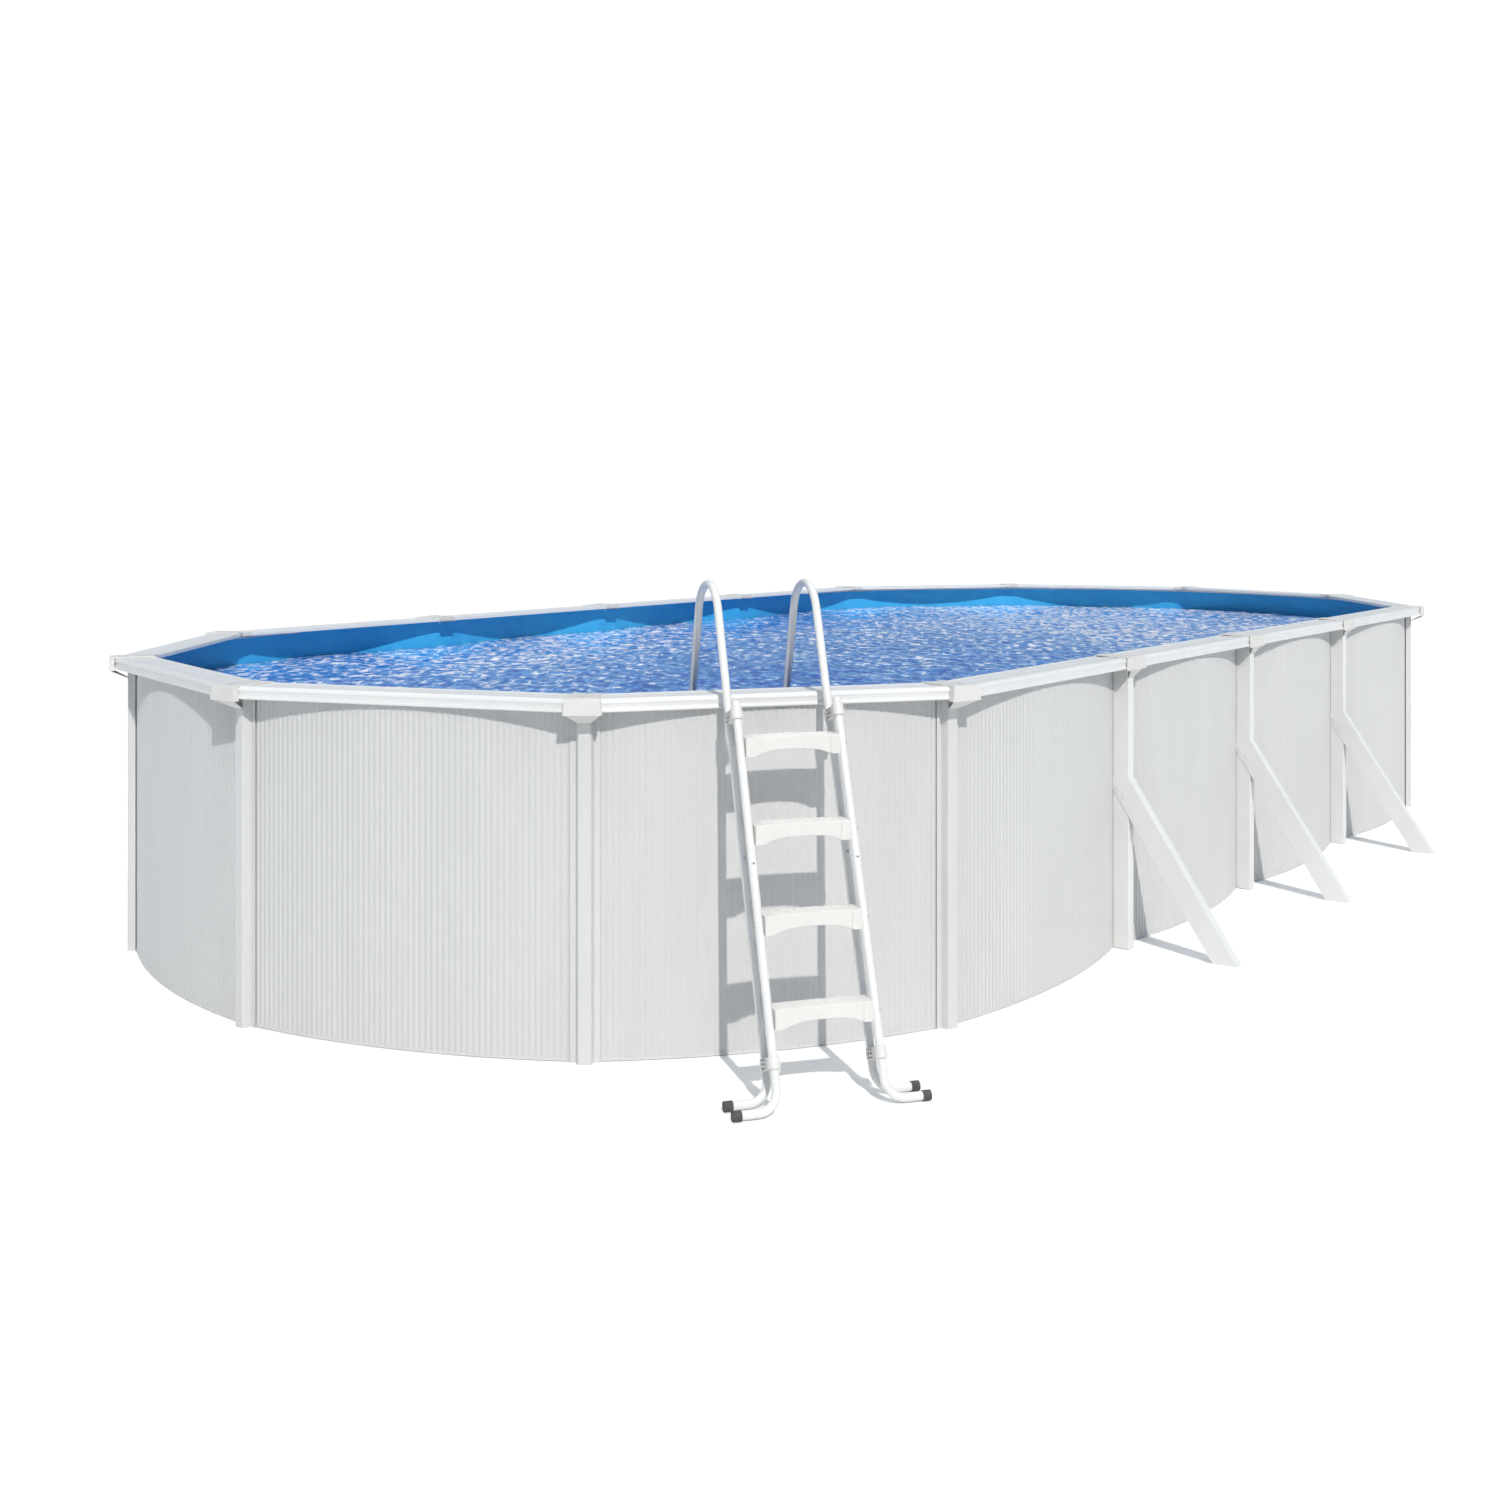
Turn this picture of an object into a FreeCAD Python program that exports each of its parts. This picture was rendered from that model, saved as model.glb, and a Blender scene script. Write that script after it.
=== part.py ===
import FreeCAD, Part
import math
import os
import re
import Sketcher

# Oval above-ground pool with a steel wall, straight coping rails, buttress struts
# and an A-frame safety ladder whose outer steps clip off.
# Frame: millimetres, +Z up, origin on the ground under the middle of the pool,
# +X along the long axis away from the ladder end.

Vector = FreeCAD.Vector
Rotation = FreeCAD.Rotation
Placement = FreeCAD.Placement

SIZES = [
    # outline: ten corners on two half circles, with four straight spans on each side
    ("corner_radius", 2285, "radius of the end corners about the end centres"),
    ("centre_distance", 4600, "distance between the two end centres"),
    ("corner_turn", 36, "turn of the outline at each end corner, degrees"),
    ("wall_bulge", 88, "how far the wall bows out between two posts"),
    # wall, liner and tracks
    ("wall_sheet_thick", 1, "steel wall sheet"),
    ("wall_foot", 3.5, "height of the wall's lower edge"),
    ("wall_top", 1290, "height of the wall's upper edge"),
    ("liner_thick", 1, "liner on the wall"),
    ("floor_liner_thick", 1.5, "liner on the floor"),
    ("track_thick", 1.5, "sheet of the tracks"),
    ("track_reach", 3.5, "outer face of the bottom track"),
    ("track_foot_leg", 8.5, "height of the bottom track's outer leg"),
    ("track_top_leg", 14, "height of the top track's legs"),
    ("strap_width", 60, "floor strap"),
    ("strap_thick", 2, "floor strap"),
    # hat-shaped end posts
    ("post_back", 4, "back of the end post's flanges"),
    ("post_front", 38, "front face of the end post"),
    ("post_width", 110, "over the flanges"),
    ("post_root", 62, "raised part at its root"),
    ("post_face", 48, "raised part at its face"),
    ("post_sheet", 2, "sheet of the end post"),
    ("post_top", 1288, "height of every post"),
    # channel posts and struts on the long sides
    ("strut_post_width", 55, "face of the channel post"),
    ("strut_post_back", 11, "back of the channel post"),
    ("strut_post_front", 85, "front of the channel post"),
    ("strut_post_lip", 12, "return lip of the channel post"),
    ("strut_sheet", 2.5, "sheet of the channel posts and struts"),
    ("strut_web", 94, "width of the strut's web"),
    ("strut_angle", 56.9, "strut above the ground, degrees"),
    ("strut_foot", 476, "inner edge of the strut's foot outside the post line"),
    ("strut_head", 771, "height of the strut's upper cut"),
    ("strut_gap", 0.3, "strut flanges in front of the post"),
    ("bolt_radius", 4, "strut bolt shank"),
    ("bolt_hole", 4.2, "hole for a strut bolt"),
    ("bolt_head", 6.5, "strut bolt head radius"),
    ("bolt_head_high", 5, "strut bolt head"),
    ("bolt_first_out", 30, "first strut bolt outside the post line"),
    ("bolt_first_up", 726, "height of the first strut bolt"),
    ("bolt_second_out", 64, "second strut bolt outside the post line"),
    ("bolt_second_up", 690, "height of the second strut bolt"),
    # coping rails
    ("rail_inner", 65, "inner edge inside the post line"),
    ("rail_outer", 106, "fascia outside the post line"),
    ("rail_top", 1312, "top of the rail"),
    ("rail_bottom", 1264, "lower edge of the fascia"),
    ("rail_seat", 1294.5, "underside of the rail's ribs"),
    ("rail_sheet", 2.5, "wall of the rail section"),
    ("rail_recess", 3, "depth of the recessed band on top"),
    ("rail_round", 9, "rounding of the fascia's top edge"),
    ("rail_corner_gap", 22.5, "rail end to an end corner"),
    ("rail_straight_gap", 8, "rail end to a straight joint"),
    # corner caps, top plates and brackets
    ("cap_half", 66, "half width of a corner cap's front"),
    ("side_cap_half", 96, "half width of a side cap's front"),
    ("cap_half_inner", 52, "half width of the cap's inner end"),
    ("cap_front", 116, "cap front outside the post line"),
    ("cap_back", 80, "cap's inner corners inside the post line"),
    ("cap_notch", 70, "cap's inner edge at its middle"),
    ("cap_bottom", 1256, "lower edge of the cap's skirt"),
    ("cap_under", 1312.2, "underside of the cap's top"),
    ("cap_top", 1316, "top of the cap"),
    ("cap_sheet", 3.5, "wall of the cap"),
    ("cap_round", 3, "rounding of the cap"),
    ("corner_clear", 91.7, "side returns of an end cap start here"),
    ("straight_clear", 106.4, "side returns of a straight cap start here"),
    ("plate_half", 55, "half width of the top plate"),
    ("plate_front", 88, "front of the top plate"),
    ("plate_back", 84, "back of the top plate"),
    ("plate_sheet", 3, "thickness of the top plate"),
    ("gusset_front", 112, "front of the bracket's top edge"),
    ("gusset_half", 62, "half width of the bracket's top edge"),
    ("gusset_foot_half", 24, "half width of the bracket's foot"),
    ("gusset_top", 1255.8, "top of the bracket"),
    ("gusset_foot", 1221, "foot of the bracket"),
    ("gusset_sheet", 3, "thickness of the bracket"),
    ("screw_radius", 2, "cap screw shank"),
    ("screw_hole", 2.2, "hole for a cap screw"),
    ("screw_head", 5, "cap screw head radius"),
    ("screw_head_high", 2, "cap screw head height"),
    ("screw_front", 72, "front cap screw outside the post line"),
    ("screw_back", 36, "rear cap screw inside the post line"),
    # ladder frame
    ("ladder_shift", 35, "ladder off the middle of its span"),
    ("ladder_half", 190, "tube axes from the ladder's middle"),
    ("tube_radius", 15, "outside of every ladder tube"),
    ("tube_bore", 13.5, "inside of every ladder tube"),
    ("leg_slope", 0.37, "outer leg, run for each unit of rise"),
    ("leg_out", 172, "outer leg axis at the reference height"),
    ("leg_reference", 1300, "reference height of the outer leg"),
    ("inner_slope", 0.2736, "inner leg, run for each unit of rise"),
    ("inner_out", 287, "inner leg axis inside the post line"),
    ("inner_reference", 1280, "reference height of the inner leg"),
    ("arch_radius", 132, "bend over the coping"),
    ("foot_bend", 70, "bend of a leg into its foot"),
    ("foot_axis", 17.5, "height of a foot tube's axis"),
    ("inner_foot_axis", 21.3, "height of an inner foot tube's axis"),
    ("foot_reach", 340, "end of an outer foot tube from the ladder's middle"),
    ("inner_foot_reach", 300, "end of an inner foot tube"),
    ("cap_cup_radius", 17.5, "rubber foot cap"),
    ("cap_cup_long", 30, "length of a foot cap"),
    ("cap_cup_end", 8, "thickness of a foot cap's end"),
    ("cup_clear", 0.2, "foot cap bore round the tube"),
    ("step_offset", 92, "step tube from the outer leg, square to both"),
    ("step_tube_over", 42, "step tube above the middle of its upper connector"),
    ("hole_radius", 3.5, "adjustment hole in a tube"),
    ("hole_up", 772, "height of the adjustment holes"),
    # treads
    ("tread_half", 174.7, "half length of a tread"),
    ("tread_front", 22, "tread in front of the tube axis"),
    ("tread_behind", 62, "tread behind the tube axis"),
    ("tread_end_high", 67, "height of a tread's ends"),
    ("tread_mid_high", 45, "height of a tread's middle"),
    ("tread_end_long", 36, "straight part at each end of a tread"),
    ("tread_wall", 3.5, "wall of a tread"),
    ("tread_deck", 4.5, "top of a tread"),
    ("tread_round", 4, "rounding of a tread's top edges"),
    ("tread_first", 325, "top of the lowest outer tread"),
    ("inner_tread_first", 275, "top of the lowest inner tread"),
    ("tread_pitch", 287, "rise from one tread to the next"),
    ("tread_bolt_radius", 3, "tread bolt shank"),
    ("tread_bolt_hole", 3.2, "hole for a tread bolt"),
    ("tread_bolt_head", 6, "tread bolt head radius"),
    ("tread_bolt_head_high", 3.5, "tread bolt head height"),
    ("tread_bolt_drop", 34, "tread bolt below the tread's top"),
    # connectors and latches
    ("upper_clip_up", 1232, "upper connector's height on the outer leg"),
    ("lower_clip_up", 128, "lower connector's height on the outer leg"),
    ("clip_half_high", 20, "half height of a connector"),
    ("clip_half_wide", 20, "half width of a connector's block"),
    ("clip_ring", 21.5, "outside of the ring on the step tube"),
    ("clip_bore", 15.1, "bore of the ring on the step tube"),
    ("jaw_bore", 15.4, "open jaw round the outer leg"),
    ("jaw_start", 1, "jaw begins this far outside the leg's axis"),
    ("clip_shoulder_high", 9, "tapered shoulder over an upper ring"),
    ("pocket_deep", 4, "moulded pockets in the block's sides"),
    ("lever_thick", 3.5, "latch lever plate"),
    ("lever_clear", 0.6, "lever plate beside the connector's ring"),
    ("lever_half_wide", 8, "half width of a latch lever"),
    ("lever_long", 46, "latch lever, pivot to tip"),
    ("lever_pivot_out", 58, "lever pivot from the outer leg's axis"),
    ("lever_pivot_up", 6, "lever pivot above the connector's middle"),
    ("pivot_radius", 2.5, "lever pin"),
    ("pivot_bore", 2.56, "lever bore"),
    ("pivot_head", 4.5, "lever pin head"),
    ("pivot_head_high", 2, "lever pin head"),
    ("pivot_depth", 9, "lever pin inside the block"),
]

os.makedirs("parts", exist_ok=True)
doc = FreeCAD.newDocument("oval_pool")
sheet = doc.addObject("Spreadsheet::Sheet", "sizes")
for row, (alias, value, meaning) in enumerate(SIZES, start=1):
    sheet.set("A%d" % row, alias)
    sheet.set("B%d" % row, str(value))
    sheet.setAlias("B%d" % row, alias)
    sheet.set("C%d" % row, meaning)
doc.recompute()

FUNCTIONS = ("sin", "cos", "tan", "sqrt", "mm", "deg")
nodes = []


def size(alias):
    """A driving dimension, read from the sheet."""
    return float(sheet.get(alias))


def cells(expression):
    """Turn the plain aliases of an expression into references to the sheet."""
    def reference(match):
        word = match.group(0)
        return word if word in FUNCTIONS else "sizes." + word
    return re.sub(r"[a-z][a-z_]*", reference, str(expression))


def bind(target, **expressions):
    """Bind properties of an object to the sheet."""
    for name, expression in expressions.items():
        target.setExpression(name, cells(expression))


def new_object(kind, name):
    created = doc.addObject(kind, name)
    created.Label = name
    return created


def node(created):
    """Count an object as a named sub-part."""
    nodes.append(created)
    return created


# ---------------------------------------------------------------- building blocks

def guess(expression):
    """The present value of an expression, for the first drawing of a sketch."""
    words = {alias: value for alias, value, meaning in SIZES}
    text = re.sub(r"[a-z][a-z_]*", lambda m: WORDS.get(m.group(0), m.group(0)), str(expression))
    return float(FreeCAD.Units.parseQuantity(text)) if words else 0.0


WORDS = {alias: "(%r)" % value for alias, value, meaning in SIZES}


def profile(name, corners, arcs=None):
    """A closed sketch of straight sides whose corners are bound to the sheet.

    arcs maps the number of a side to the expressions of its radius and its
    middle point, for a side that is an arc.
    """
    sketch = new_object("Sketcher::SketchObject", name)
    points = [Vector(guess(x), guess(y), 0) for x, y in corners]
    arcs = arcs or {}
    count = len(points)
    for i in range(count):
        start = points[i]
        end = points[(i + 1) % count]
        if i in arcs:
            radius, middle_x, middle_y = arcs[i]
            middle = Vector(guess(middle_x), guess(middle_y), 0)
            circle = Part.Arc(start, middle, end)
            sketch.addGeometry(circle, False)
        else:
            sketch.addGeometry(Part.LineSegment(start, end), False)
    for i in range(count):
        place = 1
        if i in arcs:
            place = 1 if sketch.getPoint(i, 1).distanceToPoint(points[i]) < 0.01 else 2
        for axis, expression, value in (("X", corners[i][0], points[i].x), ("Y", corners[i][1], points[i].y)):
            number = sketch.addConstraint(Sketcher.Constraint("Distance" + axis, i, place, value))
            sketch.setExpression("Constraints[%d]" % number, cells(expression))
        before = (i - 1) % count
        end_place = 2
        if before in arcs:
            end_place = 2 if sketch.getPoint(before, 2).distanceToPoint(points[i]) < 0.01 else 1
        sketch.addConstraint(Sketcher.Constraint("Coincident", before, end_place, i, place))
    for i, (radius, middle_x, middle_y) in arcs.items():
        number = sketch.addConstraint(Sketcher.Constraint("Radius", i, guess(radius)))
        sketch.setExpression("Constraints[%d]" % number, cells(radius))
    return sketch


def extrusion(name, sketch, length, placement=None):
    """A sketch pushed along its normal by a bound length."""
    solid = new_object("Part::Extrusion", name)
    solid.Base = sketch
    solid.DirMode = "Normal"
    solid.Solid = True
    bind(solid, LengthFwd=length)
    if placement is not None:
        solid.Placement = placement
    return solid


def box(name, length, width, height, placement):
    solid = new_object("Part::Box", name)
    bind(solid, Length=length, Width=width, Height=height)
    solid.Placement = placement
    return solid


def cylinder(name, radius, height, placement):
    solid = new_object("Part::Cylinder", name)
    bind(solid, Radius=radius, Height=height)
    solid.Placement = placement
    return solid


def cut(name, base, tools, placement=None):
    """A base with tools taken away."""
    if len(tools) > 1:
        tool = new_object("Part::MultiFuse", name + "_tools")
        tool.Shapes = tools
    else:
        tool = tools[0]
    solid = new_object("Part::Cut", name)
    solid.Base = base
    solid.Tool = tool
    if placement is not None:
        solid.Placement = placement
    return solid


def fuse(name, pieces, placement=None):
    solid = new_object("Part::MultiFuse", name)
    solid.Shapes = pieces
    if placement is not None:
        solid.Placement = placement
    return solid


def fillet(name, base, radius, chosen, placement=None):
    """Round the edges of a base that a test picks, at the sheet's radius."""
    doc.recompute()
    picked = [i for i, edge in enumerate(base.Shape.Edges, start=1) if chosen(edge)]
    solid = new_object("Part::Fillet", name)
    solid.Base = base
    solid.Edges = [(i, size(radius), size(radius)) for i in picked]
    if placement is not None:
        solid.Placement = placement
    return solid


def group(name, pieces):
    """Identical pieces as one node of separate solids."""
    gathered = new_object("Part::Compound", name)
    gathered.Links = pieces
    return node(gathered)


def feature(name, shape):
    """A piece whose shape follows a curved path or outline."""
    made = new_object("Part::Feature", name)
    made.Shape = shape
    return node(made)


def turned(point, azimuth):
    """A place on the outline whose +Y looks outward at an azimuth in degrees."""
    return Placement(point, Rotation(Vector(0, 0, 1), azimuth - 90))


# A sketch drawn in (out, up) and pushed along the span: X to Y, Y to Z, Z to X.
STANDING = Rotation(Vector(1, 1, 1), 120)
# A cylinder turned to lie along X.
ALONG = Rotation(Vector(0, 1, 0), 90)


def shifted(x=0, y=0, z=0, rotation=None):
    return Placement(Vector(x, y, z), rotation or Rotation())


# ---------------------------------------------------------------- outline

def radial(azimuth):
    angle = math.radians(azimuth)
    return Vector(math.cos(angle), math.sin(angle), 0)


turn = size("corner_turn")
half_centres = size("centre_distance") / 2
corner_radius = size("corner_radius")
straight_end = half_centres + corner_radius * math.cos(math.radians(2 * turn))
side_line = corner_radius * math.sin(math.radians(2 * turn))
straight_span = straight_end / 2

far_azimuths = [-2 * turn, -turn, 0, turn, 2 * turn]
near_azimuths = [180 + azimuth for azimuth in far_azimuths]


def end_corner(azimuth):
    centre = Vector(half_centres if math.cos(math.radians(azimuth)) > 0 else -half_centres, 0, 0)
    return centre + radial(azimuth) * corner_radius


def side_post(step, side):
    return Vector(step * straight_span, side * side_line, 0)


# posts in order, anticlockwise from the far end's first corner: place and azimuth
far_posts = [(end_corner(azimuth), azimuth) for azimuth in far_azimuths]
back_posts = [(side_post(step, 1), 90) for step in (1, 0, -1)]
near_posts = [(end_corner(azimuth), azimuth) for azimuth in near_azimuths]
front_posts = [(side_post(step, -1), 270) for step in (-1, 0, 1)]
posts = far_posts + back_posts + near_posts + front_posts


def spans():
    """Each span between two posts: middle, azimuth and chord."""
    found = []
    for i, (start, _) in enumerate(posts):
        end = posts[(i + 1) % len(posts)][0]
        along = end - start
        azimuth = math.degrees(math.atan2(along.y, along.x)) - 90
        found.append(((start + end) * 0.5, azimuth, along.Length))
    return found


def outline(offset, height):
    """The bowed outline, moved outward by an offset."""
    corners = [point + radial(azimuth) * offset + Vector(0, 0, height) for point, azimuth in posts]
    edges = []
    for i, (middle, azimuth, _) in enumerate(spans()):
        crown = middle + radial(azimuth) * (size("wall_bulge") + offset) + Vector(0, 0, height)
        edges.append(Part.Arc(corners[i], crown, corners[(i + 1) % len(corners)]).toShape())
    return Part.Wire(edges)


def band(inner, outer, low, high):
    """A ring between two offsets of the outline."""
    face = Part.Face(outline(outer, low)).cut(Part.Face(outline(inner, low)))
    return face.Faces[0].extrude(Vector(0, 0, high - low))


def sheet_metal_and_liner():
    thick = size("wall_sheet_thick")
    liner = size("liner_thick")
    track = size("track_thick")
    foot = size("wall_foot")
    top = size("wall_top")
    reach = size("track_reach")
    floor_low = foot - size("floor_liner_thick")
    feature("wall_sheet", band(0, thick, foot, top))
    feature("liner_wall", band(-liner, 0, foot, top))
    floor = Part.Face(outline(-reach, floor_low)).extrude(Vector(0, 0, size("floor_liner_thick")))
    feature("liner_floor", floor)
    track_base = band(-reach, reach, floor_low, foot)
    track_leg = band(reach - track, reach, foot, foot + size("track_foot_leg"))
    feature("bottom_track", track_base.fuse(track_leg).removeSplitter())
    crown = band(-liner - track, thick + track, top, top + track)
    low = top - size("track_top_leg")
    outer_leg = band(thick, thick + track, low, top)
    inner_leg = band(-liner - track, -liner, low, top)
    feature("top_track", crown.fuse([outer_leg, inner_leg]).removeSplitter())


def floor_straps():
    pieces = []
    reach = "2 * (corner_radius * sin(2 * corner_turn) + strut_post_front)"
    for point, _ in front_posts:
        corner = Vector(point.x - size("strap_width") / 2, point.y - size("strut_post_front"), 0)
        strap = box("floor_strap_%d" % (len(pieces) + 1), "strap_width", reach, "strap_thick",
                    Placement(corner, Rotation()))
        pieces.append(strap)
    group("floor_straps", pieces)


# ---------------------------------------------------------------- posts and struts

def end_posts(name, places, sketch):
    pieces = []
    for i, (point, azimuth) in enumerate(places, start=1):
        pieces.append(extrusion("%s_%d" % (name, i), sketch, "post_top", turned(point, azimuth)))
    group(name, pieces)


def hat_profile():
    """Half a hat and its mirror image, as one closed sheet."""
    right = [
        ("post_width / 2", "post_back"),
        ("post_width / 2", "post_back + post_sheet"),
        ("post_root / 2 + 2", "post_back + post_sheet"),
        ("post_face / 2 + 1", "post_front - 4"),
        ("post_face / 2 - 4", "post_front"),
    ]
    inside = [
        ("post_face / 2 - 5", "post_front - post_sheet"),
        ("post_face / 2 - 1", "post_front - 5"),
        ("post_root / 2", "post_back"),
    ]
    outer = right + [("-(%s)" % x, y) for x, y in reversed(right)]
    inner = [("-(%s)" % x, y) for x, y in reversed(inside)] + inside
    return profile("hat_profile", outer + inner)


def channel_profile():
    """The channel post: web towards the strut, two flanges and their lips."""
    half = "strut_post_width / 2"
    corners = [
        (half, "strut_post_front"),
        (half, "strut_post_back"),
        ("-(%s)" % half, "strut_post_back"),
        ("-(%s)" % half, "strut_post_back + strut_post_lip"),
        ("strut_sheet - %s" % half, "strut_post_back + strut_post_lip"),
        ("strut_sheet - %s" % half, "strut_post_back + strut_sheet"),
        ("%s - strut_sheet" % half, "strut_post_back + strut_sheet"),
        ("%s - strut_sheet" % half, "strut_post_front - strut_sheet"),
        ("strut_sheet - %s" % half, "strut_post_front - strut_sheet"),
        ("strut_sheet - %s" % half, "strut_post_front - strut_post_lip"),
        ("-(%s)" % half, "strut_post_front - strut_post_lip"),
        ("-(%s)" % half, "strut_post_front"),
    ]
    return profile("channel_profile", corners)


BOLTS = (("first", "bolt_first_out", "bolt_first_up"), ("second", "bolt_second_out", "bolt_second_up"))


def bolt_cylinders(name, radius, start, length):
    """Two cylinders along X at the strut bolts, from a distance right of the middle."""
    made = []
    for which, out, up in BOLTS:
        lying = shifted(guess(start), size(out), size(up), ALONG)
        made.append(cylinder("%s_%s" % (name, which), radius, length, lying))
    return made


def strut_post(name, place, sketch):
    tall = extrusion(name + "_channel", sketch, "post_top - strap_thick", shifted(z=size("strap_thick")))
    rounded = fillet(name + "_rounded", tall, "strut_sheet", is_front_corner)
    holes = bolt_cylinders(name + "_hole", "bolt_hole", "strut_post_width / 2 - 2 * strut_sheet", "4 * strut_sheet")
    node(cut(name, rounded, holes, turned(*place)))


def is_front_corner(edge):
    """The two upright outer edges of the channel's front face."""
    middle = edge.CenterOfMass
    upright = edge.BoundBox.ZLength > size("post_top") / 2
    at_front = abs(middle.y - size("strut_post_front")) < 0.1
    return upright and at_front and abs(abs(middle.x) - size("strut_post_width") / 2) < 0.1


def strut_profiles():
    """Web, upper flange and lower flange of a strut, drawn in (out, up)."""
    rise = "tan(strut_angle)"
    wide = "strut_web / sin(strut_angle)"
    sheet_run = "strut_sheet / sin(strut_angle)"
    front = "(strut_post_front + strut_gap)"
    outer_foot = "(strut_foot + %s)" % wide
    web = profile("strut_web_profile", [
        ("strut_foot", "0"),
        (outer_foot, "0"),
        ("%s - strut_head / %s" % (outer_foot, rise), "strut_head"),
        ("strut_post_back", "strut_head"),
        ("strut_post_back", "(strut_foot - strut_post_back) * %s" % rise),
    ])
    upper = profile("strut_upper_profile", [
        ("%s - %s" % (outer_foot, sheet_run), "0"),
        (outer_foot, "0"),
        (front, "(%s - %s) * %s" % (outer_foot, front, rise)),
        (front, "(%s - %s - %s) * %s" % (outer_foot, sheet_run, front, rise)),
    ])
    lower = profile("strut_lower_profile", [
        ("strut_foot", "0"),
        ("strut_foot + %s" % sheet_run, "0"),
        (front, "(strut_foot + %s - %s) * %s" % (sheet_run, front, rise)),
        (front, "(strut_foot - %s) * %s" % (front, rise)),
    ])
    return web, upper, lower


def strut(name, place, profiles):
    web, upper, lower = profiles
    left = size("strut_post_width") / 2
    at_web = shifted(left, 0, 0, STANDING)
    plate = extrusion(name + "_web", web, "strut_sheet", at_web)
    holed = cut(name + "_holed", plate,
                bolt_cylinders(name + "_hole", "bolt_hole", "strut_post_width / 2 - 1", "2 * strut_sheet"))
    at_flange = shifted(size("strut_sheet") - left, 0, 0, STANDING)
    flanges = []
    for which, sketch in (("upper", upper), ("lower", lower)):
        flanges.append(extrusion("%s_%s" % (name, which), sketch, "strut_post_width", at_flange))
    node(fuse(name, [holed] + flanges, turned(*place)))


def strut_bolts(places):
    pieces = []
    for number, place in enumerate(places, start=1):
        shanks = bolt_cylinders("strut_shank_%d" % number, "bolt_radius",
                                "strut_post_width / 2 - strut_sheet", "2 * strut_sheet")
        heads = bolt_cylinders("strut_head_%d" % number, "bolt_head",
                               "strut_post_width / 2 + strut_sheet", "bolt_head_high")
        nuts = bolt_cylinders("strut_nut_%d" % number, "bolt_head",
                              "strut_post_width / 2 - strut_sheet - bolt_head_high", "bolt_head_high")
        for which, pieces_of_bolt in enumerate(zip(shanks, heads, nuts), start=1):
            pieces.append(fuse("strut_bolt_%d_%d" % (number, which), list(pieces_of_bolt), turned(*place)))
    group("strut_bolts", pieces)


# ---------------------------------------------------------------- coping

def rail_profile():
    """The hollow coping section, drawn in (out, up)."""
    top = "rail_top"
    low = "rail_top - rail_recess"
    under = "rail_top - rail_recess - rail_sheet"
    return profile("rail_profile", [
        ("rail_outer", "rail_bottom"),
        ("rail_outer", top),
        ("72", top),
        ("68", low),
        ("-42", low),
        ("-46", top),
        ("-rail_inner", top),
        ("-rail_inner", "rail_seat"),
        ("rail_sheet - rail_inner", "rail_seat"),
        ("rail_sheet - rail_inner", under),
        ("60 - rail_sheet", under),
        ("60 - rail_sheet", "rail_seat"),
        ("60", "rail_seat"),
        ("60", under),
        ("rail_outer - rail_sheet", under),
        ("rail_outer - rail_sheet", "rail_bottom + rail_sheet"),
        ("90", "rail_bottom + rail_sheet"),
        ("90", "rail_bottom"),
    ])


def is_rail_crown(edge):
    """The long edge between the fascia and the top."""
    middle = edge.CenterOfMass
    return abs(middle.x - size("rail_outer")) < 0.1 and abs(middle.y - size("rail_top")) < 0.1


def coping_rail(name, sketch, length, span, start):
    straight = extrusion(name + "_section", sketch, length)
    middle, azimuth, chord = span
    place = turned(middle, azimuth).multiply(shifted(start - chord / 2, 0, 0, STANDING))
    return fillet(name, straight, "rail_round", is_rail_crown, place)


def coping_rails(sketch):
    """Rails in four groups; a rail stops short of each joint it meets."""
    groups = {"far_end": [], "back": [], "near_end": [], "front": []}
    for number, span in enumerate(spans()):
        on_end = abs(abs(span[1] % 180) - 90) > 1
        straight = "corner_radius * cos(2 * corner_turn) + centre_distance / 2"
        chord = "2 * corner_radius * sin(corner_turn / 2)" if on_end else "(%s) / 2" % straight
        at_corner = [abs((posts[i % len(posts)][1] % 180) - 90) > 1 for i in (number, number + 1)]
        gaps = ["rail_corner_gap" if corner else "rail_straight_gap" for corner in at_corner]
        length = "%s - %s - %s" % (chord, gaps[0], gaps[1])
        if on_end:
            where = "far_end" if span[0].x > 0 else "near_end"
        else:
            where = "back" if span[0].y > 0 else "front"
        name = "%s_rail_%d" % (where, len(groups[where]) + 1)
        groups[where].append(coping_rail(name, sketch, length, span, size(gaps[1])))
    for where, pieces in groups.items():
        group("coping_rails_" + where, pieces)


def cap_profiles():
    """Plan of the cap on an end corner and of the cap on a straight joint."""
    front = [("-cap_half", "cap_front"), ("cap_half", "cap_front")]
    inner = [("cap_half_inner", "-cap_back"), ("0", "-cap_notch"), ("-cap_half_inner", "-cap_back")]
    corner = profile("corner_cap_profile", front + inner)
    plain = [("cap_half_inner", "-cap_notch"), ("-cap_half_inner", "-cap_notch")]
    wide = [("-side_cap_half", "cap_front"), ("side_cap_half", "cap_front")]
    straight = profile("straight_cap_profile", wide + plain)
    return corner, straight


def is_cap_rim(edge):
    """The edges round the top of the cap and down its two front corners."""
    middle = edge.CenterOfMass
    on_top = abs(middle.z - size("cap_top")) < 0.1
    upright = edge.BoundBox.ZLength > 5 and abs(middle.y - size("cap_front")) < 0.1
    return on_top or upright


def screw_places():
    return ((0, size("screw_front")), (0, -size("screw_back")))


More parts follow.
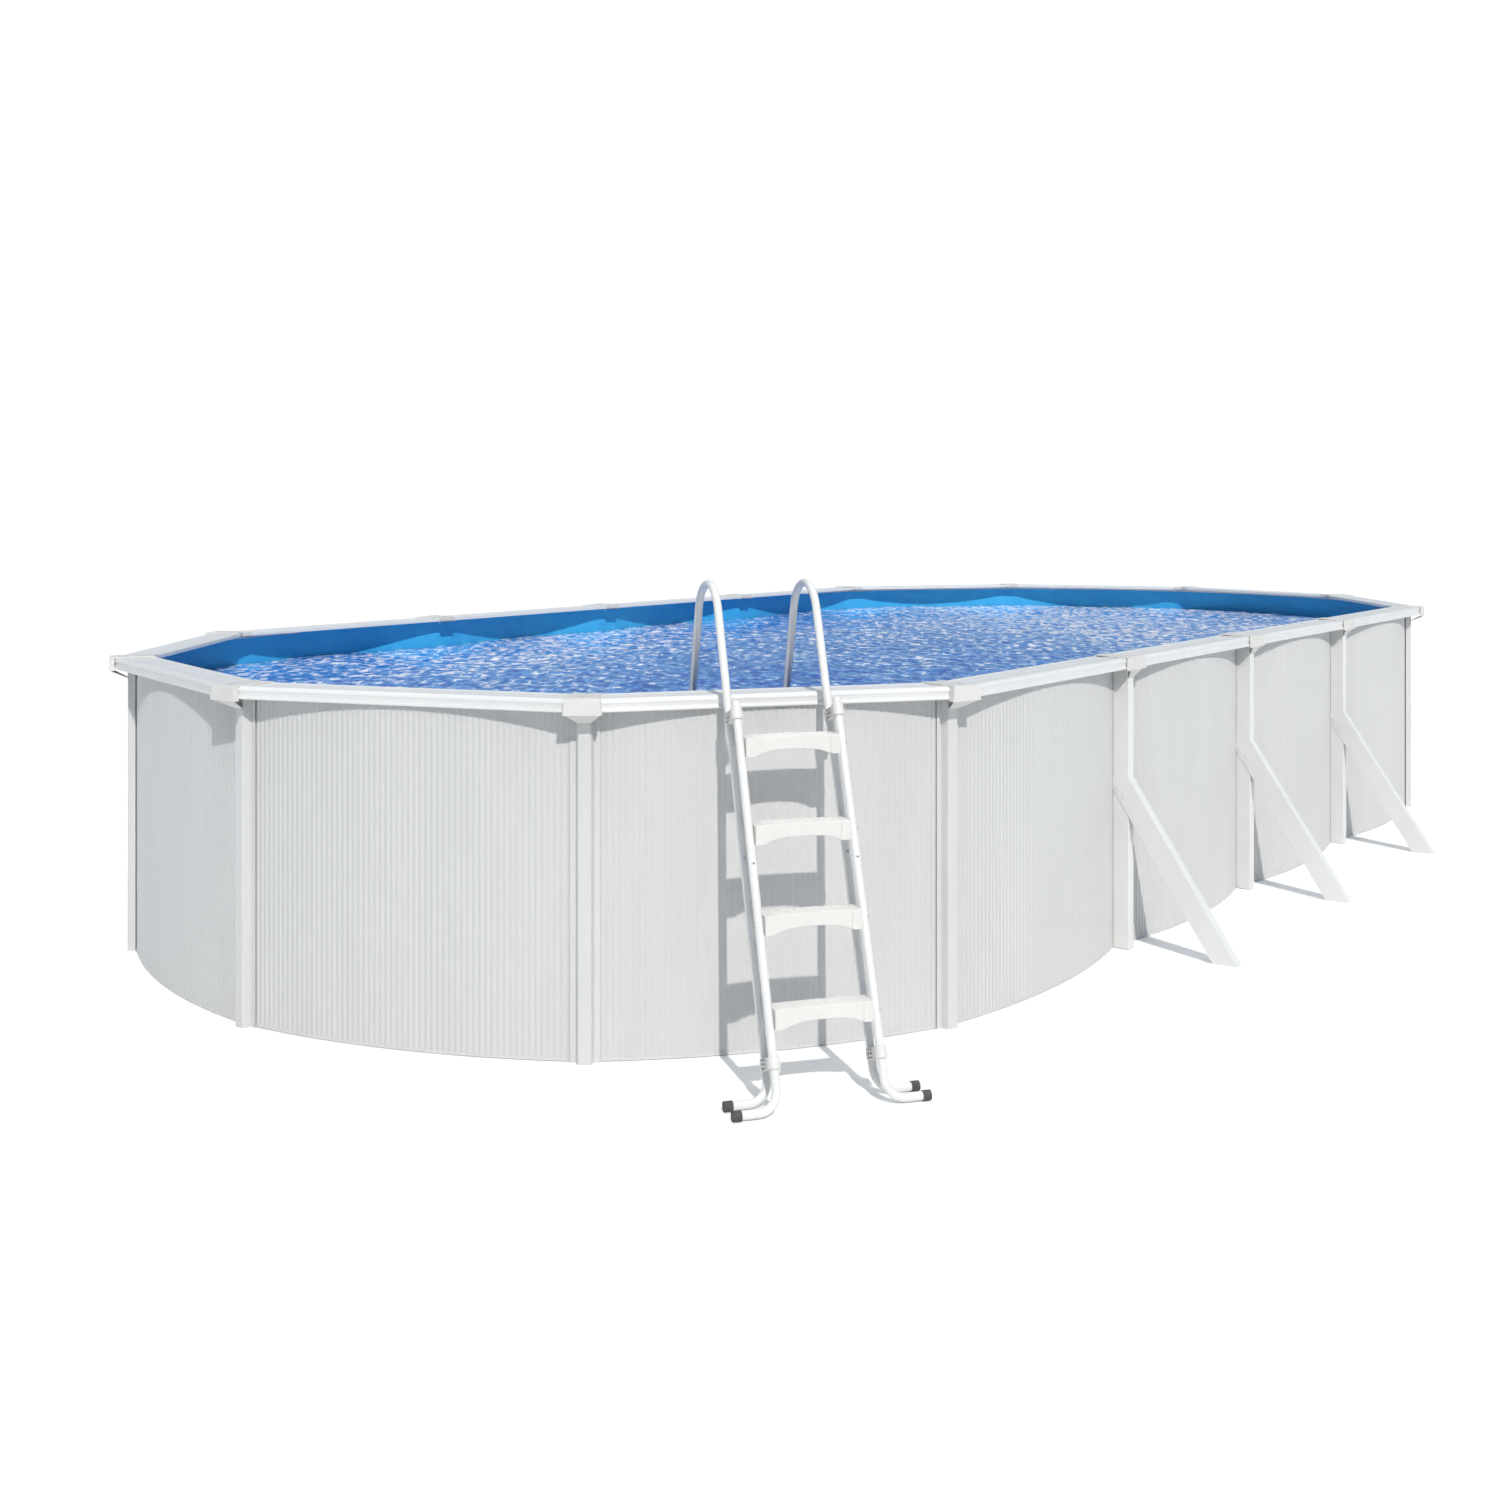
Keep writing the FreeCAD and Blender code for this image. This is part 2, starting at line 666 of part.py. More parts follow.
def cap(name, sketch, half, clear, place):
    """A moulded cap: top, front skirt and two short side returns."""
    high = "cap_top - cap_bottom"
    block = extrusion(name + "_block", sketch, high, shifted(z=size("cap_bottom")))
    rounded = fillet(name + "_rounded", block, "cap_round", is_cap_rim)
    low = size("cap_bottom") - 1
    room = "cap_under - cap_bottom + 1"
    passage = box(name + "_passage", "4 * cap_half", "%s + 2 * cap_back" % clear, room,
                  shifted(-2 * size("cap_half"), -2 * size("cap_back"), low))
    hollow = box(name + "_hollow", "2 * (%s - cap_sheet)" % half, "cap_front - cap_sheet", room,
                 shifted(size("cap_sheet") - size(half), 0, low))
    holes = []
    for number, (x, y) in enumerate(screw_places(), start=1):
        holes.append(cylinder("%s_screw_hole_%d" % (name, number), "screw_hole", "cap_top - rail_bottom",
                              shifted(x, y, size("rail_bottom"))))
    return cut(name, rounded, [passage, hollow] + holes, place)


def caps(name, places, sketch, half, clear):
    pieces = []
    for i, place in enumerate(places, start=1):
        pieces.append(cap("%s_%d" % (name, i), sketch, half, clear, turned(*place)))
    group(name, pieces)


def top_plates():
    """A steel plate on each post, which the rails and the cap are screwed to."""
    pieces = []
    low = size("wall_top") + size("track_thick")
    for i, place in enumerate(posts, start=1):
        name = "post_top_plate_%d" % i
        plate = box(name + "_blank", "2 * plate_half", "plate_front + plate_back", "plate_sheet",
                    shifted(-size("plate_half"), -size("plate_back"), low))
        holes = []
        for number, (x, y) in enumerate(screw_places(), start=1):
            holes.append(cylinder("%s_hole_%d" % (name, number), "screw_hole", "3 * plate_sheet",
                                  shifted(x, y, low - size("plate_sheet"))))
        pieces.append(cut(name, plate, holes, turned(*place)))
    group("post_top_plates", pieces)


def cap_screws():
    pieces = []
    for i, place in enumerate(posts, start=1):
        for number, (x, y) in enumerate(screw_places(), start=1):
            name = "cap_screw_%d_%d" % (i, number)
            head = cylinder(name + "_head", "screw_head", "screw_head_high", shifted(x, y, size("cap_top")))
            shank = cylinder(name + "_shank", "screw_radius", "cap_top - wall_top - track_thick",
                             shifted(x, y, size("wall_top") + size("track_thick")))
            pieces.append(fuse(name, [head, shank], turned(*place)))
    group("cap_screws", pieces)


def rectangle(half, out, up, thick):
    """A level rectangle, half wide and thick deep, whose front edge is at out."""
    corners = [Vector(-half, out, up), Vector(half, out, up), Vector(half, out - thick, up),
               Vector(-half, out - thick, up)]
    return Part.makePolygon(corners + corners[:1])


def gussets(name, places, post_face):
    """Sloping brackets, wide under the cap and narrow where they meet the post."""
    top = rectangle(size("gusset_half"), size("gusset_front"), size("gusset_top"), size("gusset_sheet"))
    foot = rectangle(size("gusset_foot_half"), post_face + size("gusset_sheet"), size("gusset_foot"),
                     size("gusset_sheet"))
    shape = Part.makeLoft([foot, top], True, True)
    pieces = []
    for place in places:
        piece = shape.copy()
        piece.Placement = turned(*place)
        pieces.append(piece)
    feature(name, Part.makeCompound(pieces))


# ---------------------------------------------------------------- ladder

ladder_azimuth = near_azimuths[3] + turn / 2
ladder_middle = Vector(-half_centres, 0, 0) + radial(ladder_azimuth) * (
    corner_radius * math.cos(math.radians(turn / 2)))
LADDER = turned(ladder_middle, ladder_azimuth).multiply(shifted(x=size("ladder_shift")))
leg_tilt = math.degrees(math.atan(size("leg_slope")))
LEANING = Rotation(Vector(1, 0, 0), leg_tilt)
SIDES = (("left", 1), ("right", -1))


def outer_leg_out(height):
    return size("leg_out") + (size("leg_reference") - height) * size("leg_slope")


def step_tube_out(height):
    return outer_leg_out(height) + size("step_offset") / math.cos(math.radians(leg_tilt))


def inner_leg_out(height):
    return -size("inner_out") - (size("inner_reference") - height) * size("inner_slope")


def rounded_path(corners, radii):
    """Straight runs through the corners, joined by tangent arcs."""
    edges = []
    start = corners[0]
    for i in range(1, len(corners) - 1):
        here = corners[i]
        back = (corners[i - 1] - here).normalize()
        ahead = (corners[i + 1] - here).normalize()
        half = back.getAngle(ahead) / 2
        reach = radii[i - 1] / math.tan(half)
        first = here + back * reach
        last = here + ahead * reach
        bisector = (back + ahead).normalize()
        centre = here + bisector * (radii[i - 1] / math.sin(half))
        crown = centre - bisector * radii[i - 1]
        edges.append(Part.makeLine(start, first))
        edges.append(Part.Arc(first, crown, last).toShape())
        start = last
    edges.append(Part.makeLine(start, corners[-1]))
    return Part.Wire(edges)


def swept(path, radius):
    direction = path.Edges[0].tangentAt(path.Edges[0].FirstParameter)
    ring = Part.Wire(Part.makeCircle(radius, path.Edges[0].Vertexes[0].Point, direction))
    return path.makePipeShell([ring], True, True)


def bent_tube(corners, radii):
    path = rounded_path(corners, radii)
    return swept(path, size("tube_radius")).cut(swept(path, size("tube_bore")))


def level_rod(x, y, z, radius, length):
    """A cylinder along X, centred on x."""
    return Part.makeCylinder(radius, length, Vector(x - length / 2, y, z), Vector(1, 0, 0))


def front_hole(x, y, z):
    """A drilling through the front wall of a leaning tube."""
    outward = Vector(0, math.cos(math.radians(leg_tilt)), math.sin(math.radians(leg_tilt)))
    return Part.makeCylinder(size("hole_radius"), 2 * size("tube_radius"), Vector(x, y, z), outward)


def outer_tops():
    return [size("tread_first") + i * size("tread_pitch") for i in range(4)]


def inner_tops():
    return [size("inner_tread_first") + i * size("tread_pitch") for i in range(4)]


def side_tube(name, side):
    """One long tube: outer foot, outer leg, arch over the coping, inner leg, inner foot."""
    x = side * size("ladder_half")
    low = size("foot_axis")
    inner_low = size("inner_foot_axis")
    slopes = size("leg_slope") + size("inner_slope")
    level = (outer_leg_out(0) - inner_leg_out(0)) / slopes
    corners = [
        Vector(side * size("foot_reach"), outer_leg_out(low), low),
        Vector(x, outer_leg_out(low), low),
        Vector(x, outer_leg_out(level), level),
        Vector(x, inner_leg_out(inner_low), inner_low),
        Vector(side * size("inner_foot_reach"), inner_leg_out(inner_low), inner_low),
    ]
    tube = bent_tube(corners, [size("foot_bend"), size("arch_radius"), size("foot_bend")])
    cutters = [front_hole(x, outer_leg_out(size("hole_up")), size("hole_up"))]
    for top in inner_tops():
        up = top - size("tread_bolt_drop")
        cutters.append(level_rod(x, inner_leg_out(up), up, size("tread_bolt_hole"), 4 * size("tube_radius")))
    tube = tube.cut(cutters)
    tube.Placement = LADDER
    feature(name, tube)


def step_tube(name, side):
    """A straight tube outside the leg, with the same foot."""
    x = side * size("ladder_half")
    low = size("foot_axis")
    tilt = math.radians(leg_tilt)
    top = size("upper_clip_up") + size("step_offset") * math.sin(tilt) + size("step_tube_over") * math.cos(tilt)
    corners = [
        Vector(side * size("foot_reach"), step_tube_out(low), low),
        Vector(x, step_tube_out(low), low),
        Vector(x, step_tube_out(top), top),
    ]
    cutters = [front_hole(x, step_tube_out(size("hole_up")), size("hole_up"))]
    for tread_top in outer_tops():
        up = tread_top - size("tread_bolt_drop")
        cutters.append(level_rod(x, step_tube_out(up), up, size("tread_bolt_hole"), 4 * size("tube_radius")))
    tube = bent_tube(corners, [size("foot_bend")]).cut(cutters)
    tube.Placement = LADDER
    feature(name, tube)


def foot_cups(name, ends):
    """Rubber cups on the ends of the foot tubes, given as reach, out and up."""
    long = "cap_cup_long"
    pieces = []
    for number, (reach, out, up) in enumerate(ends, start=1):
        side = 1 if reach > 0 else -1
        tip = reach + side * size("cap_cup_end")
        start = tip - size("cap_cup_long") if side > 0 else tip
        cup = cylinder("%s_%d_cup" % (name, number), "cap_cup_radius", long, shifted(start, out, up, ALONG))
        bore_start = start - size("cap_cup_end") if side > 0 else start + size("cap_cup_end")
        bore = cylinder("%s_%d_bore" % (name, number), "tube_radius + cup_clear", long,
                        shifted(bore_start, out, up, ALONG))
        pieces.append(cut("%s_%d" % (name, number), cup, [bore], LADDER))
    group(name, pieces)


def tread_profile():
    """Front view of a tread: level top, deep ends and an arched underside."""
    middle_half = "(tread_half - tread_end_long)"
    rise = "(tread_end_high - tread_mid_high)"
    radius = "(%s * %s + %s * %s) / (2 * %s)" % (middle_half, middle_half, rise, rise, rise)
    return profile("tread_profile", [
        ("tread_half", "0"),
        ("-tread_half", "0"),
        ("-tread_half", "-tread_end_high"),
        ("-" + middle_half, "-tread_end_high"),
        (middle_half, "-tread_end_high"),
        ("tread_half", "-tread_end_high"),
    ], {3: (radius, "0", "-tread_mid_high")})


def is_tread_rim(edge):
    """The edges round the top of a tread, in the sketch's own plane of drawing."""
    middle = edge.CenterOfMass
    return abs(middle.y) < 0.1


def tread(name, sketch, top, out, facing):
    """A hollow moulded tread, its front towards the person who climbs."""
    depth = "tread_front + tread_behind"
    block = extrusion(name + "_block", sketch, depth)
    rounded = fillet(name + "_rounded", block, "tread_round", is_tread_rim)
    hollow = box(name + "_hollow", "2 * (tread_half - tread_wall)", "tread_end_high", depth + " - 2 * tread_wall",
                 shifted(size("tread_wall") - size("tread_half"),
                         -size("tread_end_high") - size("tread_deck"), size("tread_wall")))
    along = "3 * tread_wall"
    drop = -size("tread_bolt_drop")
    holes = []
    for side in (1, -1):
        x = side * size("tread_half") - 1.5 * size("tread_wall")
        holes.append(cylinder("%s_hole_%d" % (name, len(holes) + 1), "tread_bolt_hole", along,
                              shifted(x, drop, bolt_depth(facing), ALONG)))
    upright = Rotation(Vector(1, 0, 0), 90)
    if facing > 0:
        place = shifted(0, out + size("tread_front"), top, upright)
    else:
        place = shifted(0, out + size("tread_behind"), top, upright)
    node(cut(name, rounded, [hollow] + holes, LADDER.multiply(place)))


def bolt_depth(facing):
    """Where the tube axis lies in a tread's depth, measured from the side farther out."""
    return size("tread_front") if facing > 0 else size("tread_behind")


def tread_bolts(name, ends):
    """Bolts through tube and tread end, given as side, out and up."""
    pieces = []
    for number, (side, out, up) in enumerate(ends, start=1):
        outside = size("ladder_half") + size("tube_radius")
        inside = size("tread_half") - size("tread_wall")
        head_high = size("tread_bolt_head_high")
        low = inside if side > 0 else -outside
        shank = cylinder("%s_%d_shank" % (name, number), "tread_bolt_radius",
                         "ladder_half + tube_radius - tread_half + tread_wall", shifted(low, out, up, ALONG))
        at_head = outside if side > 0 else -outside - head_high
        head = cylinder("%s_%d_head" % (name, number), "tread_bolt_head", "tread_bolt_head_high",
                        shifted(at_head, out, up, ALONG))
        at_nut = inside - head_high if side > 0 else -inside
        nut = cylinder("%s_%d_nut" % (name, number), "tread_bolt_head", "tread_bolt_head_high",
                       shifted(at_nut, out, up, ALONG))
        pieces.append(fuse("%s_%d" % (name, number), [shank, head, nut], LADDER))
    group(name, pieces)


def clip_place(side, up):
    """A frame on the outer leg's axis: Y square to the leg and outward, Z along it."""
    return LADDER.multiply(shifted(side * size("ladder_half"), outer_leg_out(up), up, LEANING))


def connector(name, side, up, has_shoulder):
    """A block with an open jaw for the outer leg and a ring round the step tube."""
    half = size("clip_half_high")
    offset = size("step_offset")
    block = box(name + "_block", "2 * clip_half_wide", "step_offset - jaw_start", "2 * clip_half_high",
                shifted(-size("clip_half_wide"), size("jaw_start"), -half))
    ring = cylinder(name + "_ring", "clip_ring", "2 * clip_half_high", shifted(0, offset, -half))
    solids = [block, ring]
    if has_shoulder:
        shoulder = new_object("Part::Cone", name + "_shoulder")
        bind(shoulder, Radius1="clip_ring", Radius2="tube_radius + 2", Height="clip_shoulder_high")
        shoulder.Placement = shifted(0, offset, half)
        solids.append(shoulder)
    whole = fuse(name + "_whole", solids)
    tools = [
        cylinder(name + "_jaw", "jaw_bore", "4 * clip_half_high", shifted(0, 0, -2 * half)),
        cylinder(name + "_bore", "clip_bore", "6 * clip_half_high", shifted(0, offset, -2 * half)),
        cylinder(name + "_pin_bore", "pivot_radius + 0.1", "pivot_depth + 1",
                 shifted(-size("clip_half_wide") - 1, size("lever_pivot_out"), size("lever_pivot_up"), ALONG)),
    ]
    # moulded pockets in the block's left side, with ribs between them
    for number in range(3):
        low = -0.72 * half + number * 0.52 * half
        tools.append(box("%s_pocket_%d" % (name, number + 1), "2 * pocket_deep", "step_offset / 4",
                         "clip_half_high * 0.34",
                         shifted(size("clip_half_wide") - size("pocket_deep"), 0.26 * offset, low)))
    node(cut(name, whole, tools, clip_place(side, up)))


def lever_profile():
    """The latch strap, drawn in (out, along the leg) about its pivot."""
    half = "lever_half_wide"
    return profile("lever_profile", [
        (half, half),
        ("-(%s)" % half, half),
        ("-(%s)" % half, "%s - lever_long" % half),
        ("-(%s) / 2" % half, "-lever_long"),
        (half, "-lever_long"),
    ])


def lever_left_face():
    """The lever plate lies beside the ring, on its right-hand side."""
    return -size("clip_ring") - size("lever_clear") - size("lever_thick")


def latch_lever(name, sketch, side, up):
    plate = extrusion(name + "_plate", sketch, "lever_thick", shifted(lever_left_face(), 0, 0, STANDING))
    bore = cylinder(name + "_bore", "pivot_bore", "3 * lever_thick",
                    shifted(lever_left_face() - size("lever_thick"), 0, 0, ALONG))
    at_pivot = shifted(0, size("lever_pivot_out"), size("lever_pivot_up"))
    node(cut(name, plate, [bore], clip_place(side, up).multiply(at_pivot)))


def lever_pins(places):
    pieces = []
    for number, (side, up) in enumerate(places, start=1):
        name = "lever_pin_%d" % number
        head_low = lever_left_face() - size("lever_clear") - size("pivot_head_high")
        shank = cylinder(name + "_shank", "pivot_radius",
                         "clip_ring + 2 * lever_clear + lever_thick + pivot_depth - clip_half_wide",
                         shifted(lever_left_face() - size("lever_clear"), 0, 0, ALONG))
        head = cylinder(name + "_head", "pivot_head", "pivot_head_high", shifted(head_low, 0, 0, ALONG))
        at_pivot = shifted(0, size("lever_pivot_out"), size("lever_pivot_up"))
        pieces.append(fuse(name, [shank, head], clip_place(side, up).multiply(at_pivot)))
    group("lever_pins", pieces)


def tube_plugs():
    """Plugs in the open upper ends of the step tubes."""
    pieces = []
    for name, side in SIDES:
        place = clip_place(side, size("upper_clip_up")).multiply(
            shifted(0, size("step_offset"), size("step_tube_over")))
        flange = cylinder("tube_plug_flange_" + name, "tube_radius", "tread_wall", shifted())
        stem = cylinder("tube_plug_stem_" + name, "tube_bore - 0.1", "tube_radius", shifted(z=-size("tube_radius")))
        pieces.append(fuse("tube_plug_" + name, [flange, stem], place))
    group("tube_plugs", pieces)


# ---------------------------------------------------------------- assembly

sheet_metal_and_liner()
floor_straps()

hat = hat_profile()
end_posts("near_end_posts", near_posts, hat)
end_posts("far_end_posts", far_posts, hat)

channel = channel_profile()
strut_sections = strut_profiles()
SIDE_NAMES = (("front", front_posts), ("back", back_posts[::-1]))
PLACE_NAMES = ("near", "middle", "far")
for side_name, places in SIDE_NAMES:
    for place_name, place in zip(PLACE_NAMES, places):
        strut_post("strut_post_%s_%s" % (side_name, place_name), place, channel)
        strut("strut_%s_%s" % (side_name, place_name), place, strut_sections)
strut_bolts(front_posts + back_posts)

coping_rails(rail_profile())
corner_cap, straight_cap = cap_profiles()
caps("corner_caps_near_end", near_posts, corner_cap, "cap_half", "corner_clear")
caps("corner_caps_far_end", far_posts, corner_cap, "cap_half", "corner_clear")
caps("side_caps_front", front_posts, straight_cap, "side_cap_half", "straight_clear")
caps("side_caps_back", back_posts, straight_cap, "side_cap_half", "straight_clear")
top_plates()
cap_screws()
gussets("corner_gussets", near_posts + far_posts, size("post_front"))
gussets("side_gussets", front_posts + back_posts, size("strut_post_front"))

outer_foot = (step_tube_out(size("foot_axis")), size("foot_axis"))
leg_foot = (outer_leg_out(size("foot_axis")), size("foot_axis"))
inner_foot = (inner_leg_out(size("inner_foot_axis")), size("inner_foot_axis"))
tread_sketch = tread_profile()
lever_sketch = lever_profile()
for side_name, side in SIDES:
    side_tube("ladder_side_tube_" + side_name, side)
    step_tube("step_tube_" + side_name, side)
for number, top in enumerate(outer_tops(), start=1):
    middle_up = top - size("tread_bolt_drop")
    tread("outer_tread_%d" % number, tread_sketch, top, step_tube_out(middle_up), 1)
for number, top in enumerate(inner_tops(), start=1):
    middle_up = top - size("tread_bolt_drop")
    tread("inner_tread_%d" % number, tread_sketch, top, inner_leg_out(middle_up), -1)

CLIPS = (("upper", "upper_clip_up"), ("lower", "lower_clip_up"))
for level_name, up in CLIPS:
    for side_name, side in SIDES:
        tag = "%s_%s" % (level_name, side_name)
        connector("connector_" + tag, side, size(up), level_name == "upper")
        latch_lever("latch_lever_" + tag, lever_sketch, side, size(up))
lever_pins([(side, size(up)) for _, up in CLIPS for _, side in SIDES])
tube_plugs()

reach = size("foot_reach")
inner_reach = size("inner_foot_reach")
foot_cups("frame_foot_cups", [(side * reach,) + leg_foot for _, side in SIDES]
          + [(side * inner_reach,) + inner_foot for _, side in SIDES])
foot_cups("step_foot_cups", [(side * reach,) + outer_foot for _, side in SIDES])
outer_ups = [top - size("tread_bolt_drop") for top in outer_tops()]
inner_ups = [top - size("tread_bolt_drop") for top in inner_tops()]
tread_bolts("outer_tread_bolts", [(side, step_tube_out(up), up) for up in outer_ups for _, side in SIDES])
tread_bolts("inner_tread_bolts", [(side, inner_leg_out(up), up) for up in inner_ups for _, side in SIDES])

doc.recompute()
for made in doc.Objects:
    bad = [state for state in made.State if state in ("Invalid", "Error")]
    if bad:
        raise RuntimeError("%s is %s" % (made.Label, bad))
for made in nodes:
    if made.Shape.isNull() or not made.Shape.isValid():
        raise RuntimeError("%s has no valid shape" % made.Label)
for made in nodes:
    made.Shape.exportStep("parts/%s.step" % made.Label)
    print("%-28s solids %2d  volume %12.0f" % (made.Label, len(made.Shape.Solids), made.Shape.Volume))
print(len(nodes), "nodes")
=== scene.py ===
import math

import bmesh
import bpy
from mathutils import Matrix, Vector, noise


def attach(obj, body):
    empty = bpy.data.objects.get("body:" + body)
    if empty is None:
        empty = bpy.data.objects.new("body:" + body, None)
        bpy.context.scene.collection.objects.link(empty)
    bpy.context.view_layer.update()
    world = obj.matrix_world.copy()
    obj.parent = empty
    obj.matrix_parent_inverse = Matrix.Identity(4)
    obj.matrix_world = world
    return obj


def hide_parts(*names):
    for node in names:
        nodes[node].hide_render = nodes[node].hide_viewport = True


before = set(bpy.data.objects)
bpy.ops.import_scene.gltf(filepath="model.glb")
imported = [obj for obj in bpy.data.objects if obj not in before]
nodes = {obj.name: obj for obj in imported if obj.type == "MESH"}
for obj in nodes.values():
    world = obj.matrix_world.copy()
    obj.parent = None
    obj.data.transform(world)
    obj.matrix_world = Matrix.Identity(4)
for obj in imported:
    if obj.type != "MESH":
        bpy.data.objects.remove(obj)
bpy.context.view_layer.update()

scene = bpy.context.scene

# ---------------------------------------------------------------- sizes, in metres

CORNER_RADIUS = 2.285       # from an end's centre to its posts
HALF_CENTRES = 2.30         # from the pool's middle to an end's centre
TURN = 36.0                 # degrees between two posts of an end
BULGE = 0.088               # how far the wall bows out between two posts
WALL_FOOT = 0.0035
WALL_TOP = 1.290
WALL_OUT = 0.0012           # from the outline to the valleys of the corrugation
WATER_LEVEL = 1.14
WATER_CELL = 0.035          # one cell of the water's mesh
WATER_SHIFT = 0.011         # keeps its cuts off the middle lines

LADDER_AZIMUTH = 234        # the span that it stands over
LADDER_SHIFT = 0.035        # along that span, from its middle
LADDER_HALF = 0.190         # half the distance between the side tubes
OUTER_LEG = (0.172, 1.300)  # a point of the outer leg: out from the span, height
INNER_LEG = (-0.287, 1.280)
LEG_SLOPE = 0.37
INNER_SLOPE = 0.2736
LEG_TILT = math.atan(LEG_SLOPE)
STEP_OFFSET = 0.092         # from the outer leg to the step tube, square to both
TREAD_TOPS = [0.325 + 0.287 * i for i in range(4)]
INNER_TREAD_TOPS = [0.275 + 0.287 * i for i in range(4)]
TREAD_DROP = 0.034          # from a tread's top to where it is fixed
TREAD_FRONT = 0.022         # from a tube's middle to a tread's front
CLIP_HEIGHTS = {"upper": 1.232, "lower": 0.128}

MILLIMETRES = Matrix.Scale(0.001, 4)


# ---------------------------------------------------------------- outline

def radial(azimuth):
    """The level direction at an azimuth."""
    angle = math.radians(azimuth)
    return Vector((math.cos(angle), math.sin(angle), 0))


def turned(point, azimuth):
    """A frame whose +Y looks outward at an azimuth."""
    return Matrix.Translation(point) @ Matrix.Rotation(math.radians(azimuth - 90), 4, "Z")


def corner(azimuth):
    """A post of an end, by its azimuth from that end's centre."""
    side = 1 if math.cos(math.radians(azimuth)) > 0 else -1
    return Vector((side * HALF_CENTRES, 0, 0)) + radial(azimuth) * CORNER_RADIUS


side_line = CORNER_RADIUS * math.sin(math.radians(2 * TURN))
straight_span = (HALF_CENTRES + CORNER_RADIUS * math.cos(math.radians(2 * TURN))) / 2
far_posts = [(corner(a), a) for a in (-72, -36, 0, 36, 72)]
back_posts = [(Vector((step * straight_span, side_line, 0)), 90) for step in (1, 0, -1)]
near_posts = [(corner(180 + a), 180 + a) for a in (-72, -36, 0, 36, 72)]
front_posts = [(Vector((step * straight_span, -side_line, 0)), 270) for step in (-1, 0, 1)]
posts = far_posts + back_posts + near_posts + front_posts


def find_spans():
    """Middle, azimuth and chord of each span, in the order of the posts."""
    found = []
    for i, (start, _) in enumerate(posts):
        end = posts[(i + 1) % len(posts)][0]
        along = end - start
        azimuth = math.degrees(math.atan2(along.y, along.x)) - 90
        found.append(((start + end) / 2, azimuth, along.length))
    return found


spans = find_spans()


def bowed_points(steps_per_metre, offset):
    """Points and outward normals along the bowed outline, with the run so far in the span."""
    found = []
    for middle, azimuth, chord in spans:
        place = turned(middle, azimuth)
        radius = (chord * chord / 4 + BULGE * BULGE) / (2 * BULGE)
        half = math.asin(chord / 2 / radius)
        length = 2 * half * radius
        count = int(round(length * steps_per_metre))
        for i in range(count):
            part = i / count
            angle = half - 2 * half * part
            normal = Vector((math.sin(angle), math.cos(angle), 0))
            centre = Vector((0, BULGE - radius, 0))
            point = place @ (centre + normal * (radius + offset))
            found.append((point, place.to_3x3() @ normal, part * length, length))
    return found


def hung_points(steps_per_span, offset):
    """Points of the hung liner: bowed in each span, and lying flat past the posts of the long sides."""
    found = []
    for number, (middle, azimuth, chord) in enumerate(spans):
        place = turned(middle, azimuth)
        flat = [posts[i % len(posts)] in back_posts + front_posts for i in (number, number + 1)]

        def bow(t):
            ease = flat[0] * t * (1 - t) ** 5 + flat[1] * t ** 5 * (1 - t)
            return 4 * BULGE * (t * (1 - t) - ease)

        for i in range(steps_per_span):
            t = i / steps_per_span
            slope = (bow(t + 0.001) - bow(t - 0.001)) / 0.002 / chord
            normal = Vector((slope, 1, 0)).normalized()
            found.append(place @ (Vector((chord * (0.5 - t), bow(t), 0)) + normal * offset))
    return found


# ---------------------------------------------------------------- mesh helpers

RING_SIDES = 40
BORE_SIDES = 32
MOULDED_ANGLE = 40          # degrees over which an edge of a moulded part stays sharp


def linked(name, data):
    """A new object of the scene."""
    created = bpy.data.objects.new(name, data)
    scene.collection.objects.link(created)
    return created


def soften(mesh, angle):
    """Smooth shading, except over edges sharper than an angle."""
    mesh.shade_smooth()
    mesh.set_sharp_from_angle(angle=math.radians(angle))


def mesh_object(name, vertices, faces, smooth=None):
    """A linked mesh object; smooth gives the angle under which edges are shaded soft."""
    mesh = bpy.data.meshes.new(name)
    mesh.from_pydata([tuple(v) for v in vertices], [], faces)
    mesh.validate()
    made = bmesh.new()
    made.from_mesh(mesh)
    bmesh.ops.recalc_face_normals(made, faces=made.faces)
    made.to_mesh(mesh)
    made.free()
    if smooth is not None:
        soften(mesh, smooth)
    return linked(name, mesh)


def join_meshes(name, parts, smooth=None):
    """One object from several (vertices, faces, matrix) parts."""
    vertices = []
    faces = []
    for part_vertices, part_faces, matrix in parts:
        base = len(vertices)
        vertices += [matrix @ Vector(v) for v in part_vertices]
        faces += [[base + i for i in face] for face in part_faces]
    return mesh_object(name, vertices, faces, smooth)


def closed_faces(count):
    """Faces of a solid between two rings of count points, one ring after the other."""
    faces = [[i, (i + 1) % count, count + (i + 1) % count, count + i] for i in range(count)]
    return faces + [list(range(count))[::-1], list(range(count, 2 * count))]


def prism(outline, start, end, axis):
    """A closed polygon pushed from start to end; outline gives the two other axes."""
    def place(a, b, along):
        return (along, a, b) if axis == "X" else (a, along, b) if axis == "Y" else (a, b, along)
    vertices = [place(a, b, start) for a, b in outline] + [place(a, b, end) for a, b in outline]
    return vertices, closed_faces(len(outline))


def loft(low_ring, low, high_ring, high):
    """A solid between two level rings of the same number of points."""
    vertices = [(x, y, low) for x, y in low_ring] + [(x, y, high) for x, y in high_ring]
    return vertices, closed_faces(len(low_ring))


